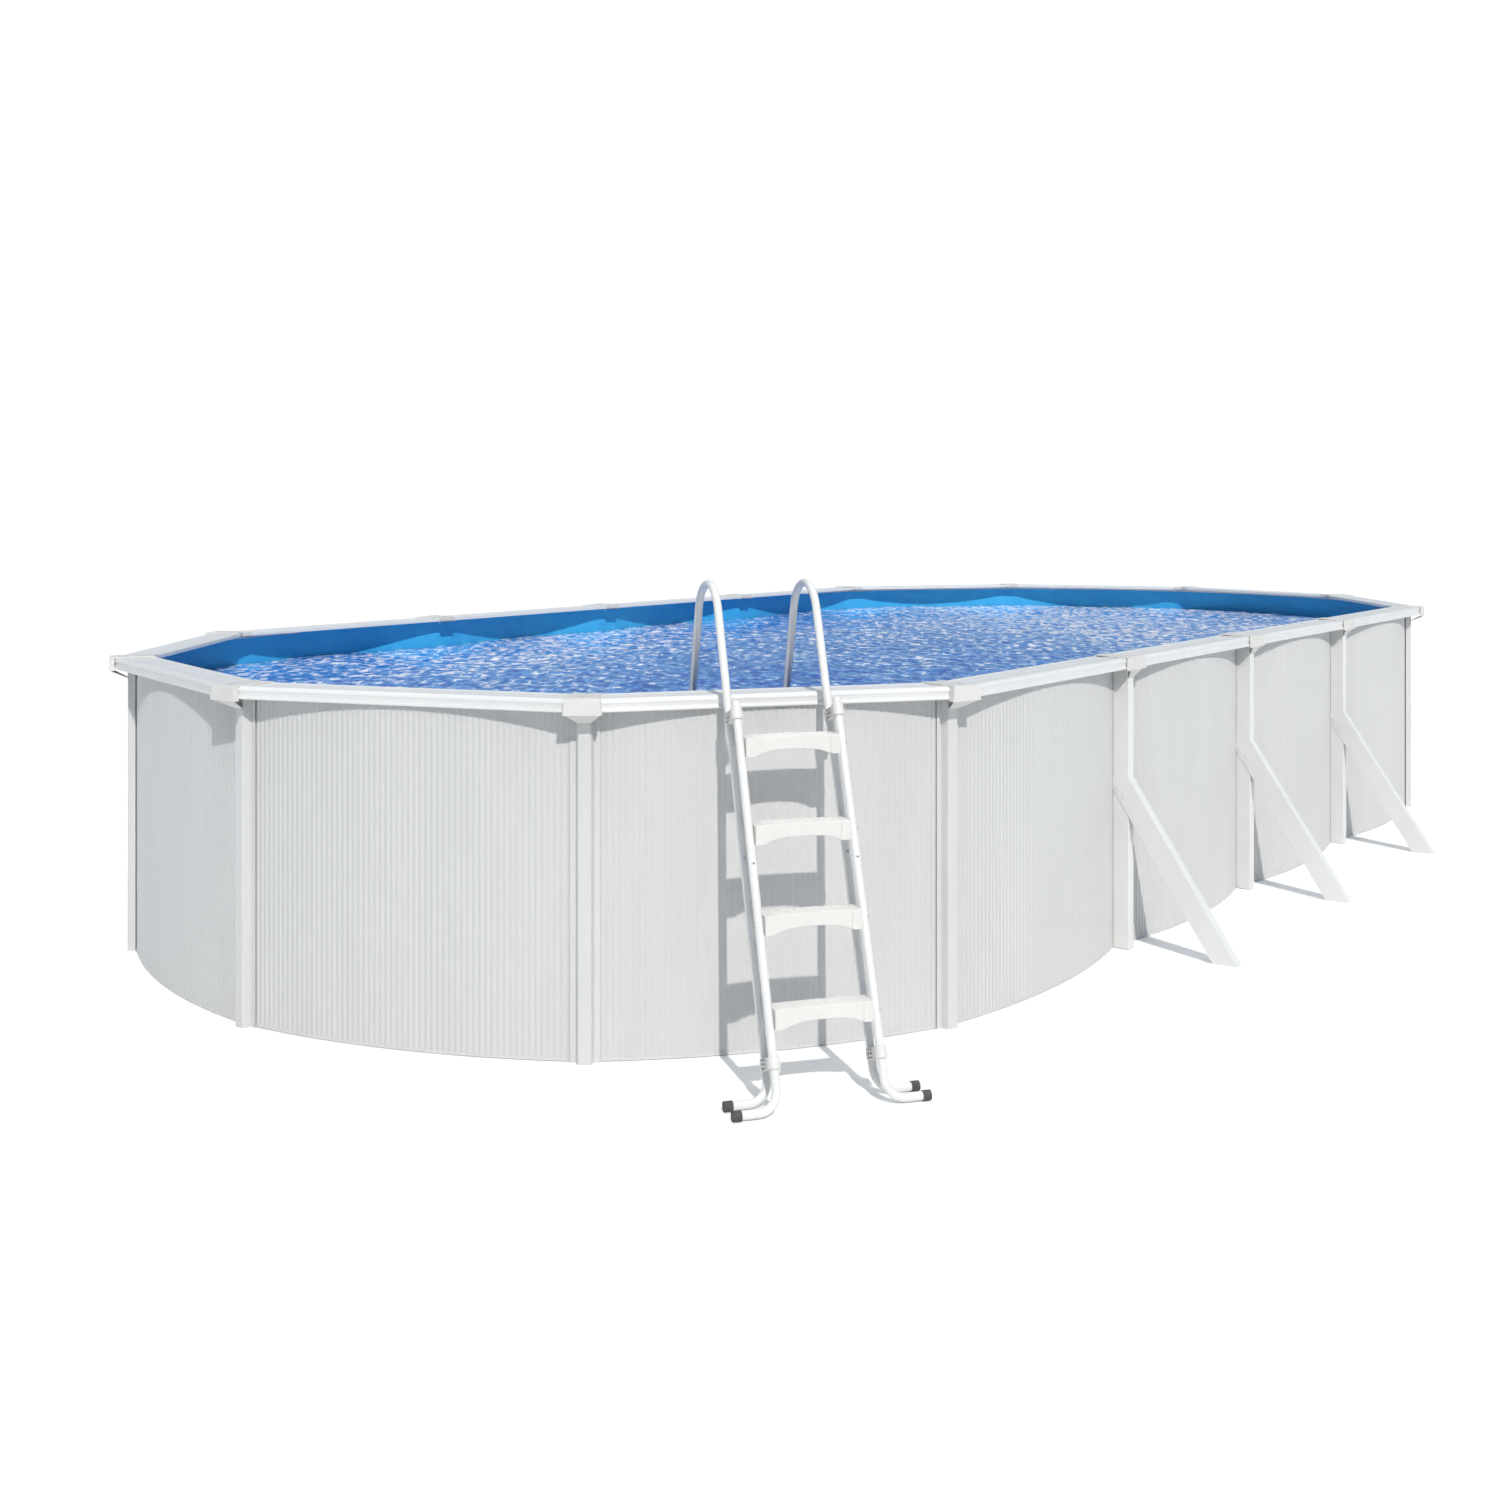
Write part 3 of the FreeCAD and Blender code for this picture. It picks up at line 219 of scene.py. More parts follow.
def band(name, outer, inner):
    """A thin closed sheet round the pool between two rings, from the wall's foot to its top."""
    vertices = []
    for ring in (outer, inner):
        for height in (WALL_FOOT, WALL_TOP):
            vertices += [point + Vector((0, 0, height)) for point in ring]
    count = len(outer)
    faces = []
    for i in range(count):
        j = (i + 1) % count
        for a, b in ((0, 1), (1, 3), (3, 2), (2, 0)):
            faces.append([a * count + i, a * count + j, b * count + j, b * count + i])
    return mesh_object(name, vertices, faces, 50)


def even_normals(piece):
    """Shade flat faces flat beside rounded edges."""
    modifier = piece.modifiers.new("normals", "WEIGHTED_NORMAL")
    modifier.keep_sharp = True
    return piece


def bevelled(piece, width, segments, angle):
    """Round the edges of a piece that are sharper than an angle."""
    modifier = piece.modifiers.new("rounding", "BEVEL")
    modifier.width = width
    modifier.segments = segments
    modifier.limit_method = "ANGLE"
    modifier.angle_limit = math.radians(angle)
    piece.data.shade_smooth()
    return even_normals(piece)


def baked_mesh(piece):
    """The mesh of a piece with its modifiers applied; the piece itself is removed."""
    bpy.context.view_layer.update()
    graph = bpy.context.evaluated_depsgraph_get()
    mesh = bpy.data.meshes.new_from_object(piece.evaluated_get(graph))
    bpy.data.objects.remove(piece)
    soften(mesh, MOULDED_ANGLE)
    return mesh


def merged(mesh, other):
    """A mesh with another one added to it."""
    joined = bmesh.new()
    joined.from_mesh(mesh)
    joined.from_mesh(other)
    joined.to_mesh(mesh)
    joined.free()
    return mesh


def carve(piece, cutters):
    """Take cutters away from a piece."""
    for cutter in cutters:
        modifier = piece.modifiers.new("carve", "BOOLEAN")
        modifier.operation = "DIFFERENCE"
        modifier.solver = "EXACT"
        modifier.object = cutter
    mesh = baked_mesh(piece)
    for cutter in cutters:
        bpy.data.objects.remove(cutter)
    return mesh


def block(low, high):
    """Vertices and faces of a box between two corners."""
    outline = [(low[0], low[1]), (high[0], low[1]), (high[0], high[1]), (low[0], high[1])]
    return prism(outline, low[2], high[2], "Z")


def lathe(outline):
    """A closed ring: (radius, height) points turned about Z."""
    count = len(outline)
    vertices = []
    for i in range(RING_SIDES):
        angle = 2 * math.pi * i / RING_SIDES
        vertices += [(r * math.cos(angle), r * math.sin(angle), z) for r, z in outline]
    faces = []
    for i in range(RING_SIDES):
        j = (i + 1) % RING_SIDES
        for k in range(count):
            m = (k + 1) % count
            faces.append([i * count + k, j * count + k, j * count + m, i * count + m])
    return vertices, faces


def rod(radius, start, end, axis, sides):
    """A closed cylinder along an axis."""
    circle = [(radius * math.cos(2 * math.pi * i / sides), radius * math.sin(2 * math.pi * i / sides))
              for i in range(sides)]
    return prism(circle, start, end, axis)


def piece_from_mesh(name, mesh, matrix):
    """A piece of its own from a shared mesh."""
    made = mesh.copy()
    made.transform(matrix)
    return linked(name, made)


def placed(piece, body, slot, finish, *replaced):
    """Give a piece its finish and body, and hide the CAD nodes that it stands for; the slot is not used."""
    piece.data.materials.clear()
    piece.data.materials.append(finishes[finish])
    if replaced:
        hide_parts(*replaced)
    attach(piece, body)
    return piece


# ---------------------------------------------------------------- materials

WALL_WHITE = (0.540, 0.536, 0.528)
PAINT_WHITE = (0.660, 0.657, 0.650)
RESIN_WHITE = (0.615, 0.602, 0.578)
TUBE_WHITE = (0.700, 0.692, 0.678)
TREAD_WHITE = (0.655, 0.638, 0.610)
CLIP_WHITE = (0.640, 0.625, 0.600)
RUBBER_BLACK = (0.075, 0.070, 0.066)
STEEL_GREY = (0.52, 0.53, 0.54)
ZINC_GREY = (0.46, 0.47, 0.48)
GLOSS_SPREAD = 0.06
# the water's blue with painted shade in the troughs and painted glints of reflected sky, all as base colour
WATER_BLUES_SHADE_AND_GLINTS = [             # from the troughs to the glints
    (0.50, (0.008, 0.070, 0.42)),
    (0.59, (0.045, 0.185, 0.58)),
    (0.67, (0.150, 0.345, 0.72)),
    (0.750, (0.250, 0.450, 0.80)),
    (0.775, (0.88, 0.85, 0.94)),
    (0.84, (0.98, 0.95, 1.00)),
]
PATCH_SHARE = 0.35          # how much of the water's tone comes from its slow patches
# painted glints: the water's tone is pushed towards the pale glints along the turned X
GLINT_RISE_PER_METRE = 0.026      # how it lightens along the pool


def blank_material(name):
    """A material with its node tree, its shader and a source of coordinates."""
    material = bpy.data.materials.new(name)
    material.use_nodes = True
    tree = material.node_tree
    shader = tree.nodes["Principled BSDF"]
    place = tree.nodes.new("ShaderNodeTexCoord")
    return material, tree, shader, place


def noise_node(tree, place, scale, detail, roughness, stretch=None):
    """Noise in the object's own coordinates, optionally stretched along them."""
    texture = tree.nodes.new("ShaderNodeTexNoise")
    texture.inputs["Scale"].default_value = scale
    texture.inputs["Detail"].default_value = detail
    texture.inputs["Roughness"].default_value = roughness
    if stretch is None:
        tree.links.new(place.outputs["Object"], texture.inputs["Vector"])
    else:
        mapping = tree.nodes.new("ShaderNodeMapping")
        mapping.inputs["Scale"].default_value = stretch
        tree.links.new(place.outputs["Object"], mapping.inputs["Vector"])
        tree.links.new(mapping.outputs["Vector"], texture.inputs["Vector"])
    return texture


def ramp_node(tree, source, stops):
    """A colour ramp over a value; stops are (position, colour)."""
    ramp = tree.nodes.new("ShaderNodeValToRGB")
    elements = ramp.color_ramp.elements
    while len(elements) < len(stops):
        elements.new(0.5)
    for element, (position, colour) in zip(elements, stops):
        element.position = position
        element.color = tuple(colour) + (1.0,)
    tree.links.new(source, ramp.inputs["Fac"])
    return ramp


def range_node(tree, source, low, high):
    """A value from 0 to 1 brought between low and high."""
    spread = tree.nodes.new("ShaderNodeMapRange")
    spread.inputs["To Min"].default_value = low
    spread.inputs["To Max"].default_value = high
    tree.links.new(source, spread.inputs["Value"])
    return spread


def bump_node(tree, source, strength, distance, before=None):
    """A bump from a height, on top of another bump if there is one."""
    bump = tree.nodes.new("ShaderNodeBump")
    bump.inputs["Strength"].default_value = strength
    bump.inputs["Distance"].default_value = distance
    tree.links.new(source, bump.inputs["Height"])
    if before is not None:
        tree.links.new(before.outputs["Normal"], bump.inputs["Normal"])
    return bump


def scaled(colour, factor):
    """A colour made lighter or darker."""
    return [min(1.0, channel * factor) for channel in colour]


def finish_material(name, colour, roughness, grain, texture, metallic=0.0, spread=0.05, specular=0.5):
    """A painted, moulded or plated surface: drifting tone, uneven gloss and a fine surface texture.

    grain is the tone's scale and stretch; texture is the skin's scale, strength and depth."""
    material, tree, shader, place = blank_material(name)
    tone = noise_node(tree, place, grain[0], 4.0, 0.6, grain[1])
    ramp = ramp_node(tree, tone.outputs["Fac"],
                     [(0.30, scaled(colour, 1 - spread)), (0.70, scaled(colour, 1 + spread))])
    tree.links.new(ramp.outputs["Color"], shader.inputs["Base Color"])
    gloss = noise_node(tree, place, grain[0] * 5, 3.0, 0.6)
    rough = range_node(tree, gloss.outputs["Fac"], roughness - GLOSS_SPREAD, roughness + GLOSS_SPREAD)
    tree.links.new(rough.outputs["Result"], shader.inputs["Roughness"])
    skin = noise_node(tree, place, texture[0], 2.0, 0.5)
    bump = bump_node(tree, skin.outputs["Fac"], texture[1], texture[2])
    tree.links.new(bump.outputs["Normal"], shader.inputs["Normal"])
    shader.inputs["Metallic"].default_value = metallic
    shader.inputs["Specular IOR Level"].default_value = specular
    return material


def liner_material():
    """Blue vinyl: slow folds, a faint mottle and a soft shine."""
    material, tree, shader, place = blank_material("liner_vinyl")
    mottle = noise_node(tree, place, 9.0, 5.0, 0.65)
    ramp = ramp_node(tree, mottle.outputs["Fac"],
                     [(0.25, (0.038, 0.365, 0.70)), (0.75, (0.058, 0.425, 0.74))])
    tree.links.new(ramp.outputs["Color"], shader.inputs["Base Color"])
    folds = noise_node(tree, place, 2.2, 2.0, 0.5, (1.0, 1.0, 0.35))
    grain = noise_node(tree, place, 240.0, 2.0, 0.5)
    soft = bump_node(tree, folds.outputs["Fac"], 0.35, 0.02)
    fine = bump_node(tree, grain.outputs["Fac"], 0.10, 0.0006, soft)
    tree.links.new(fine.outputs["Normal"], shader.inputs["Normal"])
    rough = range_node(tree, mottle.outputs["Fac"], 0.38, 0.52)
    tree.links.new(rough.outputs["Result"], shader.inputs["Roughness"])
    shader.inputs["Specular IOR Level"].default_value = 0.3
    return material


def water_material():
    """Blue water with painted ripple shade and painted glints: its colour runs from dark troughs to pale
    glints of reflected sky.
    """
    material, tree, shader, place = blank_material("water")
    turn = tree.nodes.new("ShaderNodeMapping")
    turn.vector_type = "TEXTURE"
    turn.inputs["Rotation"].default_value = (0, 0, math.radians(35))
    turn.inputs["Scale"].default_value = (1.7, 1.0, 1.0)
    tree.links.new(place.outputs["Object"], turn.inputs["Vector"])
    patches = noise_node(tree, place, 0.40, 2.0, 0.5)
    ripple = noise_node(tree, place, 20.0, 3.0, 0.55)
    for texture in (patches, ripple):
        tree.links.new(turn.outputs["Vector"], texture.inputs["Vector"])
    ripple.inputs["Distortion"].default_value = 0.5
    along = tree.nodes.new("ShaderNodeSeparateXYZ")
    tree.links.new(turn.outputs["Vector"], along.inputs["Vector"])
    mixed = tree.nodes.new("ShaderNodeMath")
    mixed.operation = "MULTIPLY_ADD"
    mixed.inputs[1].default_value = PATCH_SHARE
    tree.links.new(patches.outputs["Fac"], mixed.inputs[0])
    tree.links.new(ripple.outputs["Fac"], mixed.inputs[2])
    # painted glints: a steady rise along the turned X gives paler water with more glints further along
    painted_glint_drift = tree.nodes.new("ShaderNodeMath")
    painted_glint_drift.operation = "MULTIPLY_ADD"
    painted_glint_drift.inputs[1].default_value = GLINT_RISE_PER_METRE
    tree.links.new(along.outputs["X"], painted_glint_drift.inputs[0])
    tree.links.new(mixed.outputs["Value"], painted_glint_drift.inputs[2])
    # painted light: the ramp paints ripple shade and sky glints into the base colour
    tone = ramp_node(tree, painted_glint_drift.outputs["Value"], WATER_BLUES_SHADE_AND_GLINTS)
    tree.links.new(tone.outputs["Color"], shader.inputs["Base Color"])
    fine = bump_node(tree, ripple.outputs["Fac"], 0.5, 0.004)
    tree.links.new(fine.outputs["Normal"], shader.inputs["Normal"])
    shader.inputs["Roughness"].default_value = 0.08
    shader.inputs["IOR"].default_value = 1.33
    shader.inputs["Specular IOR Level"].default_value = 0.35
    return material


PAINTS = [
    ("wall_paint", WALL_WHITE, 0.42, (1.4, (3.0, 3.0, 0.5)), (1400.0, 0.10, 0.0001), {"spread": 0.03}),
    # post and strut paint are the wall's paint made lighter: painted light for faces that get less light
    ("post_paint", scaled(WALL_WHITE, 1.05), 0.40, (3.0, (2.0, 2.0, 0.4)), (1400.0, 0.10, 0.0001),
     {"spread": 0.03}),
    ("rail_paint", PAINT_WHITE, 0.38, (4.0, None), (1100.0, 0.10, 0.0001), {"spread": 0.03}),
    ("strut_paint", scaled(WALL_WHITE, 1.24), 0.40, (5.0, None), (1200.0, 0.10, 0.0001), {"spread": 0.03}),
    ("cap_resin", RESIN_WHITE, 0.45, (10.0, None), (700.0, 0.20, 0.00015), {"spread": 0.03}),
    ("tube_paint", TUBE_WHITE, 0.30, (8.0, None), (1600.0, 0.10, 0.0001), {"spread": 0.03}),
    ("tread_resin", TREAD_WHITE, 0.48, (14.0, None), (800.0, 0.22, 0.00015), {"spread": 0.03}),
    ("clip_resin", CLIP_WHITE, 0.42, (25.0, None), (900.0, 0.18, 0.00012), {"spread": 0.04}),
    ("foot_rubber", RUBBER_BLACK, 0.72, (40.0, None), (500.0, 0.35, 0.0003),
     {"spread": 0.15, "specular": 0.3}),
    ("plated_steel", STEEL_GREY, 0.34, (60.0, None), (900.0, 0.12, 0.0001), {"metallic": 1.0}),
    ("galvanised_strap", ZINC_GREY, 0.46, (30.0, None), (300.0, 0.20, 0.0002),
     {"metallic": 1.0, "spread": 0.2}),
]
finishes = {}
for name, colour, roughness, grain, texture, other in PAINTS:
    finishes[name] = finish_material(name, colour, roughness, grain, texture, **other)
finishes["liner_vinyl"] = liner_material()
finishes["water"] = water_material()

# the finish of each CAD node, by how the node's name starts; the first that fits is taken
NODE_FINISHES = [
    ("liner_vinyl", ("liner_",)),
    ("wall_paint", ("wall_sheet",)),
    ("galvanised_strap", ("floor_straps",)),
    ("post_paint", ("bottom_track", "top_track", "near_end_posts", "far_end_posts")),
    ("strut_paint", ("strut_",)),
    ("rail_paint", ("coping_rails",)),
    ("cap_resin", ("corner_caps", "side_caps", "corner_gussets", "side_gussets")),
    ("plated_steel", ("post_top_plates", "cap_screws", "inner_tread_bolts", "outer_tread_bolts",
                      "lever_pins")),
    ("tube_paint", ("ladder_side_tube", "step_tube")),
    ("tread_resin", ("inner_tread", "outer_tread")),
    ("clip_resin", ("connector", "latch_lever", "tube_plugs")),
    ("foot_rubber", ("frame_foot_cups", "step_foot_cups")),
]
for node_name, node in nodes.items():
    finish = next(name for name, starts in NODE_FINISHES if node_name.startswith(starts))
    node.data.materials.clear()
    node.data.materials.append(finishes[finish])


# ---------------------------------------------------------------- wall

def corrugated_wall():
    """The wall sheet with its fine upright corrugation, standing in its tracks."""
    pitch = 0.0235
    samples = 10
    deep = 0.0022
    thick = 0.0007
    flatness = 1.6
    outer = []
    inner = []
    for point, normal, run, length in bowed_points(samples / pitch, 0):
        ridges = max(1, round(length / pitch))
        wave = math.cos(2 * math.pi * run * ridges / length)
        rise = deep * (0.5 - 0.5 * math.tanh(flatness * wave) / math.tanh(flatness))
        outer.append(point + normal * (WALL_OUT + rise))
        inner.append(point + normal * (WALL_OUT + rise - thick))
    wall = band("corrugated_wall", outer, inner)
    placed(wall, "pool", "wall", "wall_paint", "wall_sheet")


corrugated_wall()


# ---------------------------------------------------------------- liner

def hung_liner():
    """The vinyl on the wall, one thin closed band."""
    liner = band("hung_liner", hung_points(40, -0.0004), hung_points(40, -0.0014))
    placed(liner, "pool", "liner", "liner_vinyl", "liner_wall")


hung_liner()


# ---------------------------------------------------------------- water

def ripple_height(x, y):
    """Crossing swells and small ripples, always the same."""
    swell = noise.noise(Vector((x * 1.7, y * 1.7, 4.0)))
    chop = noise.noise(Vector((x * 5.5 + 9.0, y * 5.5, 1.0)))
    ripple = noise.noise(Vector((x * 13.0, y * 13.0 + 5.0, 2.0)))
    return 0.0045 * swell + 0.0045 * chop + 0.0022 * ripple


def water():
    """The water's surface with small waves, out to the liner."""
    mesh = bmesh.new()
    mesh.faces.new([mesh.verts.new((point.x, point.y, 0)) for point in hung_points(24, -0.004)])
    for axis, reach in ((Vector((1, 0, 0)), 4.7), (Vector((0, 1, 0)), 2.4)):
        count = int(reach / WATER_CELL)
        for i in range(-count, count + 1):
            geometry = mesh.verts[:] + mesh.edges[:] + mesh.faces[:]
            cut = axis * (i * WATER_CELL + WATER_SHIFT)
            bmesh.ops.bisect_plane(mesh, geom=geometry, plane_co=cut, plane_no=axis)
    for vertex in mesh.verts:
        vertex.co.z = WATER_LEVEL + ripple_height(vertex.co.x, vertex.co.y)
    data = bpy.data.meshes.new("water")
    mesh.to_mesh(data)
    mesh.free()
    data.shade_smooth()
    placed(linked("water", data), "pool", "liner", "water")


water()


# ---------------------------------------------------------------- coping

# millimetres: out from the posts' line, height
RAIL_PROFILE = [
    (-65, 1294.5), (-65, 1308), (-63.5, 1311), (-60, 1312.4), (-55, 1312.4), (-52, 1310.6),
    (-49, 1309.6), (6, 1309.6), (8, 1307.8), (12, 1307.8), (14, 1309.6), (56, 1309.6), (60, 1310.6),
    (64, 1312.4), (69, 1313), (86, 1313), (95, 1311.6), (101.5, 1307.6), (105.5, 1301), (106, 1296),
    (103.4, 1292), (103, 1281), (104, 1276), (107.6, 1272.5), (108.6, 1268.5), (107.4, 1264.8),
    (104, 1263.6), (100.5, 1264.8), (101, 1269), (103, 1272), (100.5, 1276), (100, 1293),
    (101.5, 1297), (98.5, 1304), (92, 1308.4), (84, 1309.8), (70, 1309.4), (64, 1307.4), (56, 1306.4),
    (-49, 1306.4), (-54, 1308.6), (-61.5, 1308.6), (-61.5, 1294.5),
]
CORNER_GAP = 22.5           # millimetres from a post of an end to the rail's cut
STRAIGHT_GAP = 8.0          # the same at a post of a long side


def on_end(azimuth):
    """Whether an azimuth belongs to an end, not to a long side."""
    return abs(abs(azimuth % 180) - 90) > 1


def coping_rails():
    """Sixteen rails with a beaded inner edge, a grooved deck and a rolled fascia, in four groups."""
    groups = {"far_end": [], "back": [], "near_end": [], "front": []}
    for number, (middle, azimuth, chord) in enumerate(spans):
        if on_end(azimuth):
            where = "far_end" if middle.x > 0 else "near_end"
        else:
            where = "back" if middle.y > 0 else "front"
        gaps = [CORNER_GAP if on_end(posts[i % len(posts)][1]) else STRAIGHT_GAP
                for i in (number, number + 1)]
        half = chord * 1000 / 2
        vertices, faces = prism(RAIL_PROFILE, gaps[1] - half, half - gaps[0], "X")
        groups[where].append((vertices, faces, turned(middle, azimuth) @ MILLIMETRES))
    for where, parts in groups.items():
        rails = even_normals(join_meshes("rails_" + where, parts, 38))
        placed(rails, "pool", "rail", "rail_paint", "coping_rails_" + where)


coping_rails()


def cap_parts(at_corner):
    """The parts of a moulded cap in millimetres: flared front block, plate, raised panel and inner lip.

    On a straight side it also has a raised band with a rib along each edge."""
    if at_corner:
        foot = [(-70, 117.6), (70, 117.6), (70, 91.8), (34, 104.6), (-34, 104.6), (-70, 91.8)]
        head = [(-63.5, 114.5), (63.5, 114.5), (63.5, 91.8), (34, 102), (-34, 102), (-63.5, 91.8)]
        plate = [(-63.5, 114.5), (63.5, 114.5), (63.5, 60), (53, -82), (0, -66), (-53, -82), (-63.5, 60)]
        panel = [(-53, 100), (53, 100), (53, 58), (44, -70), (0, -56), (-44, -70), (-53, 58)]
        lip = [(-53, -88.6), (0, -71.4), (53, -88.6), (53, -85.8), (0, -68.6), (-53, -85.8)]
    else:
        foot = [(-99, 117.6), (99, 117.6), (99, 109.2), (-99, 109.2)]
        head = [(-92, 114.5), (92, 114.5), (92, 107), (-92, 107)]
        plate = [(-92, 114.5), (92, 114.5), (60, -66), (-60, -66)]
        panel = [(-80, 102), (80, 102), (50, -58), (-50, -58)]
        lip = [(-60, -68.4), (60, -68.4), (60, -65.3), (-60, -65.3)]
    parts = [loft(foot, 1256, head, 1315.4), loft(plate, 1309.8, plate, 1315.8),
             loft(panel, 1315, panel, 1317), loft(lip, 1296, lip, 1315.8)]
    if not at_corner:
        for left, right, proud in ((25, 73, 1.4), (26, 32, 2.8), (66, 72, 2.8)):
            low = [(left, 117.6 + proud), (right, 117.6 + proud), (right, 110), (left, 110)]
            bent = [(x, min(y, 114.5 + proud)) for x, y in low]
            high = [(left, 114.5 + proud), (right, 114.5 + proud), (right, -50), (left, -50)]
            parts.append(loft(low, 1257, bent, 1315))
            parts.append(loft(high, 1314.5, high, 1316.6 + proud))
    return parts


def caps():
    """The caps of the ends and of the straight sides, each group as one piece."""
    for name, places, at_corner in (
            ("corner_caps_near_end", near_posts, True), ("corner_caps_far_end", far_posts, True),
            ("side_caps_front", front_posts, False), ("side_caps_back", back_posts, False)):
        parts = []
        for point, azimuth in places:
            for vertices, faces in cap_parts(at_corner):
                parts.append((vertices, faces, turned(point, azimuth) @ MILLIMETRES))
        cap = bevelled(join_meshes(name + "_moulded", parts), 0.0022, 3, 25)
        placed(cap, "pool", "cap", "cap_resin", name)


caps()


# ---------------------------------------------------------------- ladder

ladder_middle = Vector((-HALF_CENTRES, 0, 0)) + radial(LADDER_AZIMUTH) * (
    CORNER_RADIUS * math.cos(math.radians(TURN / 2)))
LADDER = turned(ladder_middle, LADDER_AZIMUTH) @ Matrix.Translation((LADDER_SHIFT, 0, 0))


def outer_leg_out(height):
    """How far out the outer leg of a side tube is at a height."""
    return OUTER_LEG[0] + (OUTER_LEG[1] - height) * LEG_SLOPE


def step_tube_out(height):
    """How far out a step tube is at a height."""
    return outer_leg_out(height) + STEP_OFFSET / math.cos(LEG_TILT)


def inner_leg_out(height):
    """How far out, below zero, the inner leg of a side tube is at a height."""
    return INNER_LEG[0] - (INNER_LEG[1] - height) * INNER_SLOPE


def arch(x):
    """Underside of a tread: deep at its ends, quickly rising and then nearly level."""
    return -45 - 22 * min(1.0, abs(x) / 140) ** 3


def tread_mesh():
    """A moulded tread in millimetres: climber's side at Y 0, going back along -Y, top at Z 0."""
    steps = [i * 14 for i in range(-10, 11)]
    arched = [(x, arch(x)) for x in steps[1:-1]]
    underside = [(-174.6, -67), (-140, -67)] + arched + [(140, -67), (174.6, -67)]
    outline = [(174.6, 0), (120, 1.2), (0, 2.4), (-120, 1.2), (-174.6, 0)]
    shell = mesh_object("tread_shell", *prism(underside + outline, -84, 0, "Y"))
    bevelled(shell, 3.5, 3, 35)
    hollow = mesh_object("tread_hollow", *block((-170.8, -80.4, -90), (170.8, -3.6, -4.5)))
    mesh = carve(shell, [hollow])
    extras = []
    for side in (-1, 1):
        low, high = sorted((side * 140, side * 174.6))
        extras.append(block((low, -6, -66.8), (high, 3.0, -1.5)))
    for row in range(7):
        y = -10 - row * 10.6
        for column in range(9):
            x = -140 + column * 31.5 + (8 if row % 2 else 0)
            rise = 2.4 * (1 - abs(x + 11) / 175)
            root = [(x, y - 2.4), (x + 22, y - 2.4), (x + 22, y + 2.4), (x, y + 2.4)]
            crown = [(x + 1.2, y - 1.2), (x + 20.8, y - 1.2), (x + 20.8, y + 1.2), (x + 1.2, y + 1.2)]
            extras.append(loft(root, rise - 1.5, crown, rise + 1.5))
    for x in (-90, 0, 90):
        extras.append(block((x - 1.5, -81, -44 - abs(x) / 30), (x + 1.5, -3, -3)))
    extra = join_meshes("tread_extras", [(v, f, Matrix.Identity(4)) for v, f in extras])
    bevelled(extra, 1.0, 2, 40)
    return merged(mesh, baked_mesh(extra))


def treads():
    """Four treads on the step tubes and four, turned about, on the inner legs."""
    mesh = tread_mesh()
    for i, top in enumerate(TREAD_TOPS, start=1):
        out = step_tube_out(top - TREAD_DROP) + TREAD_FRONT
        place = LADDER @ Matrix.Translation((0, out, top)) @ MILLIMETRES
        step = piece_from_mesh("outer_step_%d" % i, mesh, place)
        placed(even_normals(step), "step_section", "tread", "tread_resin", "outer_tread_%d" % i)
    about = Matrix.Rotation(math.pi, 4, "Z")
    for i, top in enumerate(INNER_TREAD_TOPS, start=1):
        out = inner_leg_out(top - TREAD_DROP) - TREAD_FRONT
        place = LADDER @ Matrix.Translation((0, out, top)) @ about @ MILLIMETRES
        step = piece_from_mesh("inner_step_%d" % i, mesh, place)
        placed(even_normals(step), "ladder_frame", "tread", "tread_resin", "inner_tread_%d" % i)


treads()


CLIP_REACH = 92             # millimetres from the jaw to the ring


def connector_mesh(has_shoulder):
    """A moulded clip in millimetres: open jaw at Y 0, ring round the step tube at CLIP_REACH."""
    bridge_outline = [(-20, 1), (-20, 70), (-15, CLIP_REACH), (15, CLIP_REACH), (20, 70), (20, 1)]
    bridge = mesh_object("clip_bridge", *prism(bridge_outline, -20, 20, "Z"))
    bevelled(bridge, 3.5, 3, 25)
    jaw = mesh_object("clip_jaw", *rod(15.4, -60, 60, "Z", RING_SIDES))
    bore = mesh_object("clip_bore", *rod(15.8, -60, 60, "Z", RING_SIDES))
    bore.data.transform(Matrix.Translation((0, CLIP_REACH, 0)))
    cutters = [jaw, bore]
    for z in (-13, 0.5, 14):
        for y in (20, 44):
            pocket = mesh_object("clip_pocket", *block((14, y, z - 4.2), (30, y + 18, z + 4.2)))
            cutters.append(pocket)
    for z in (-9, 9):
        cutters.append(mesh_object("clip_notch", *block((-30, 12, z - 6), (-15, 34, z + 6))))
    mesh = carve(bridge, cutters)
    top = [(21.5, 13), (21.2, 17), (20.2, 21), (18.4, 24.5), (16.6, 26.5), (16.4, 29), (15.4, 29.5)]
    plain = [(21.5, 17.5), (20.8, 19.4), (19, 20), (15.4, 20)]
    outline = [(15.4, -20), (19, -20), (20.8, -19.4), (21.5, -17.5), (21.5, -14), (21.9, -13),
               (21.9, -9), (21.5, -8)]
    ring = mesh_object("clip_ring", *lathe(outline + (top if has_shoulder else plain)))
    ring.data.transform(Matrix.Translation((0, CLIP_REACH, 0)))
    merged(mesh, baked_mesh(ring))
    soften(mesh, MOULDED_ANGLE)
    return mesh


def lever_mesh():
    """A thumb latch in millimetres about its pivot: a curved wing on the right of the ring."""
    outline = [(-22.2, 16), (-25, 17.5), (-29, 15), (-32.5, 8), (-34, 0), (-33.6, -10), (-31.5, -22),
               (-28.5, -32), (-26, -40), (-22.8, -42.5), (-22.2, -40)]
    wing = mesh_object("wing", *prism(outline, -8, 8, "Y"))
    bevelled(wing, 1.6, 3, 35)
    bore = mesh_object("wing_bore", *rod(3.4, -60, -30, "X", BORE_SIDES))
    recess = mesh_object("wing_recess", *block((-31, -5, -34), (-60, 5, -20)))
    return carve(wing, [bore, recess])


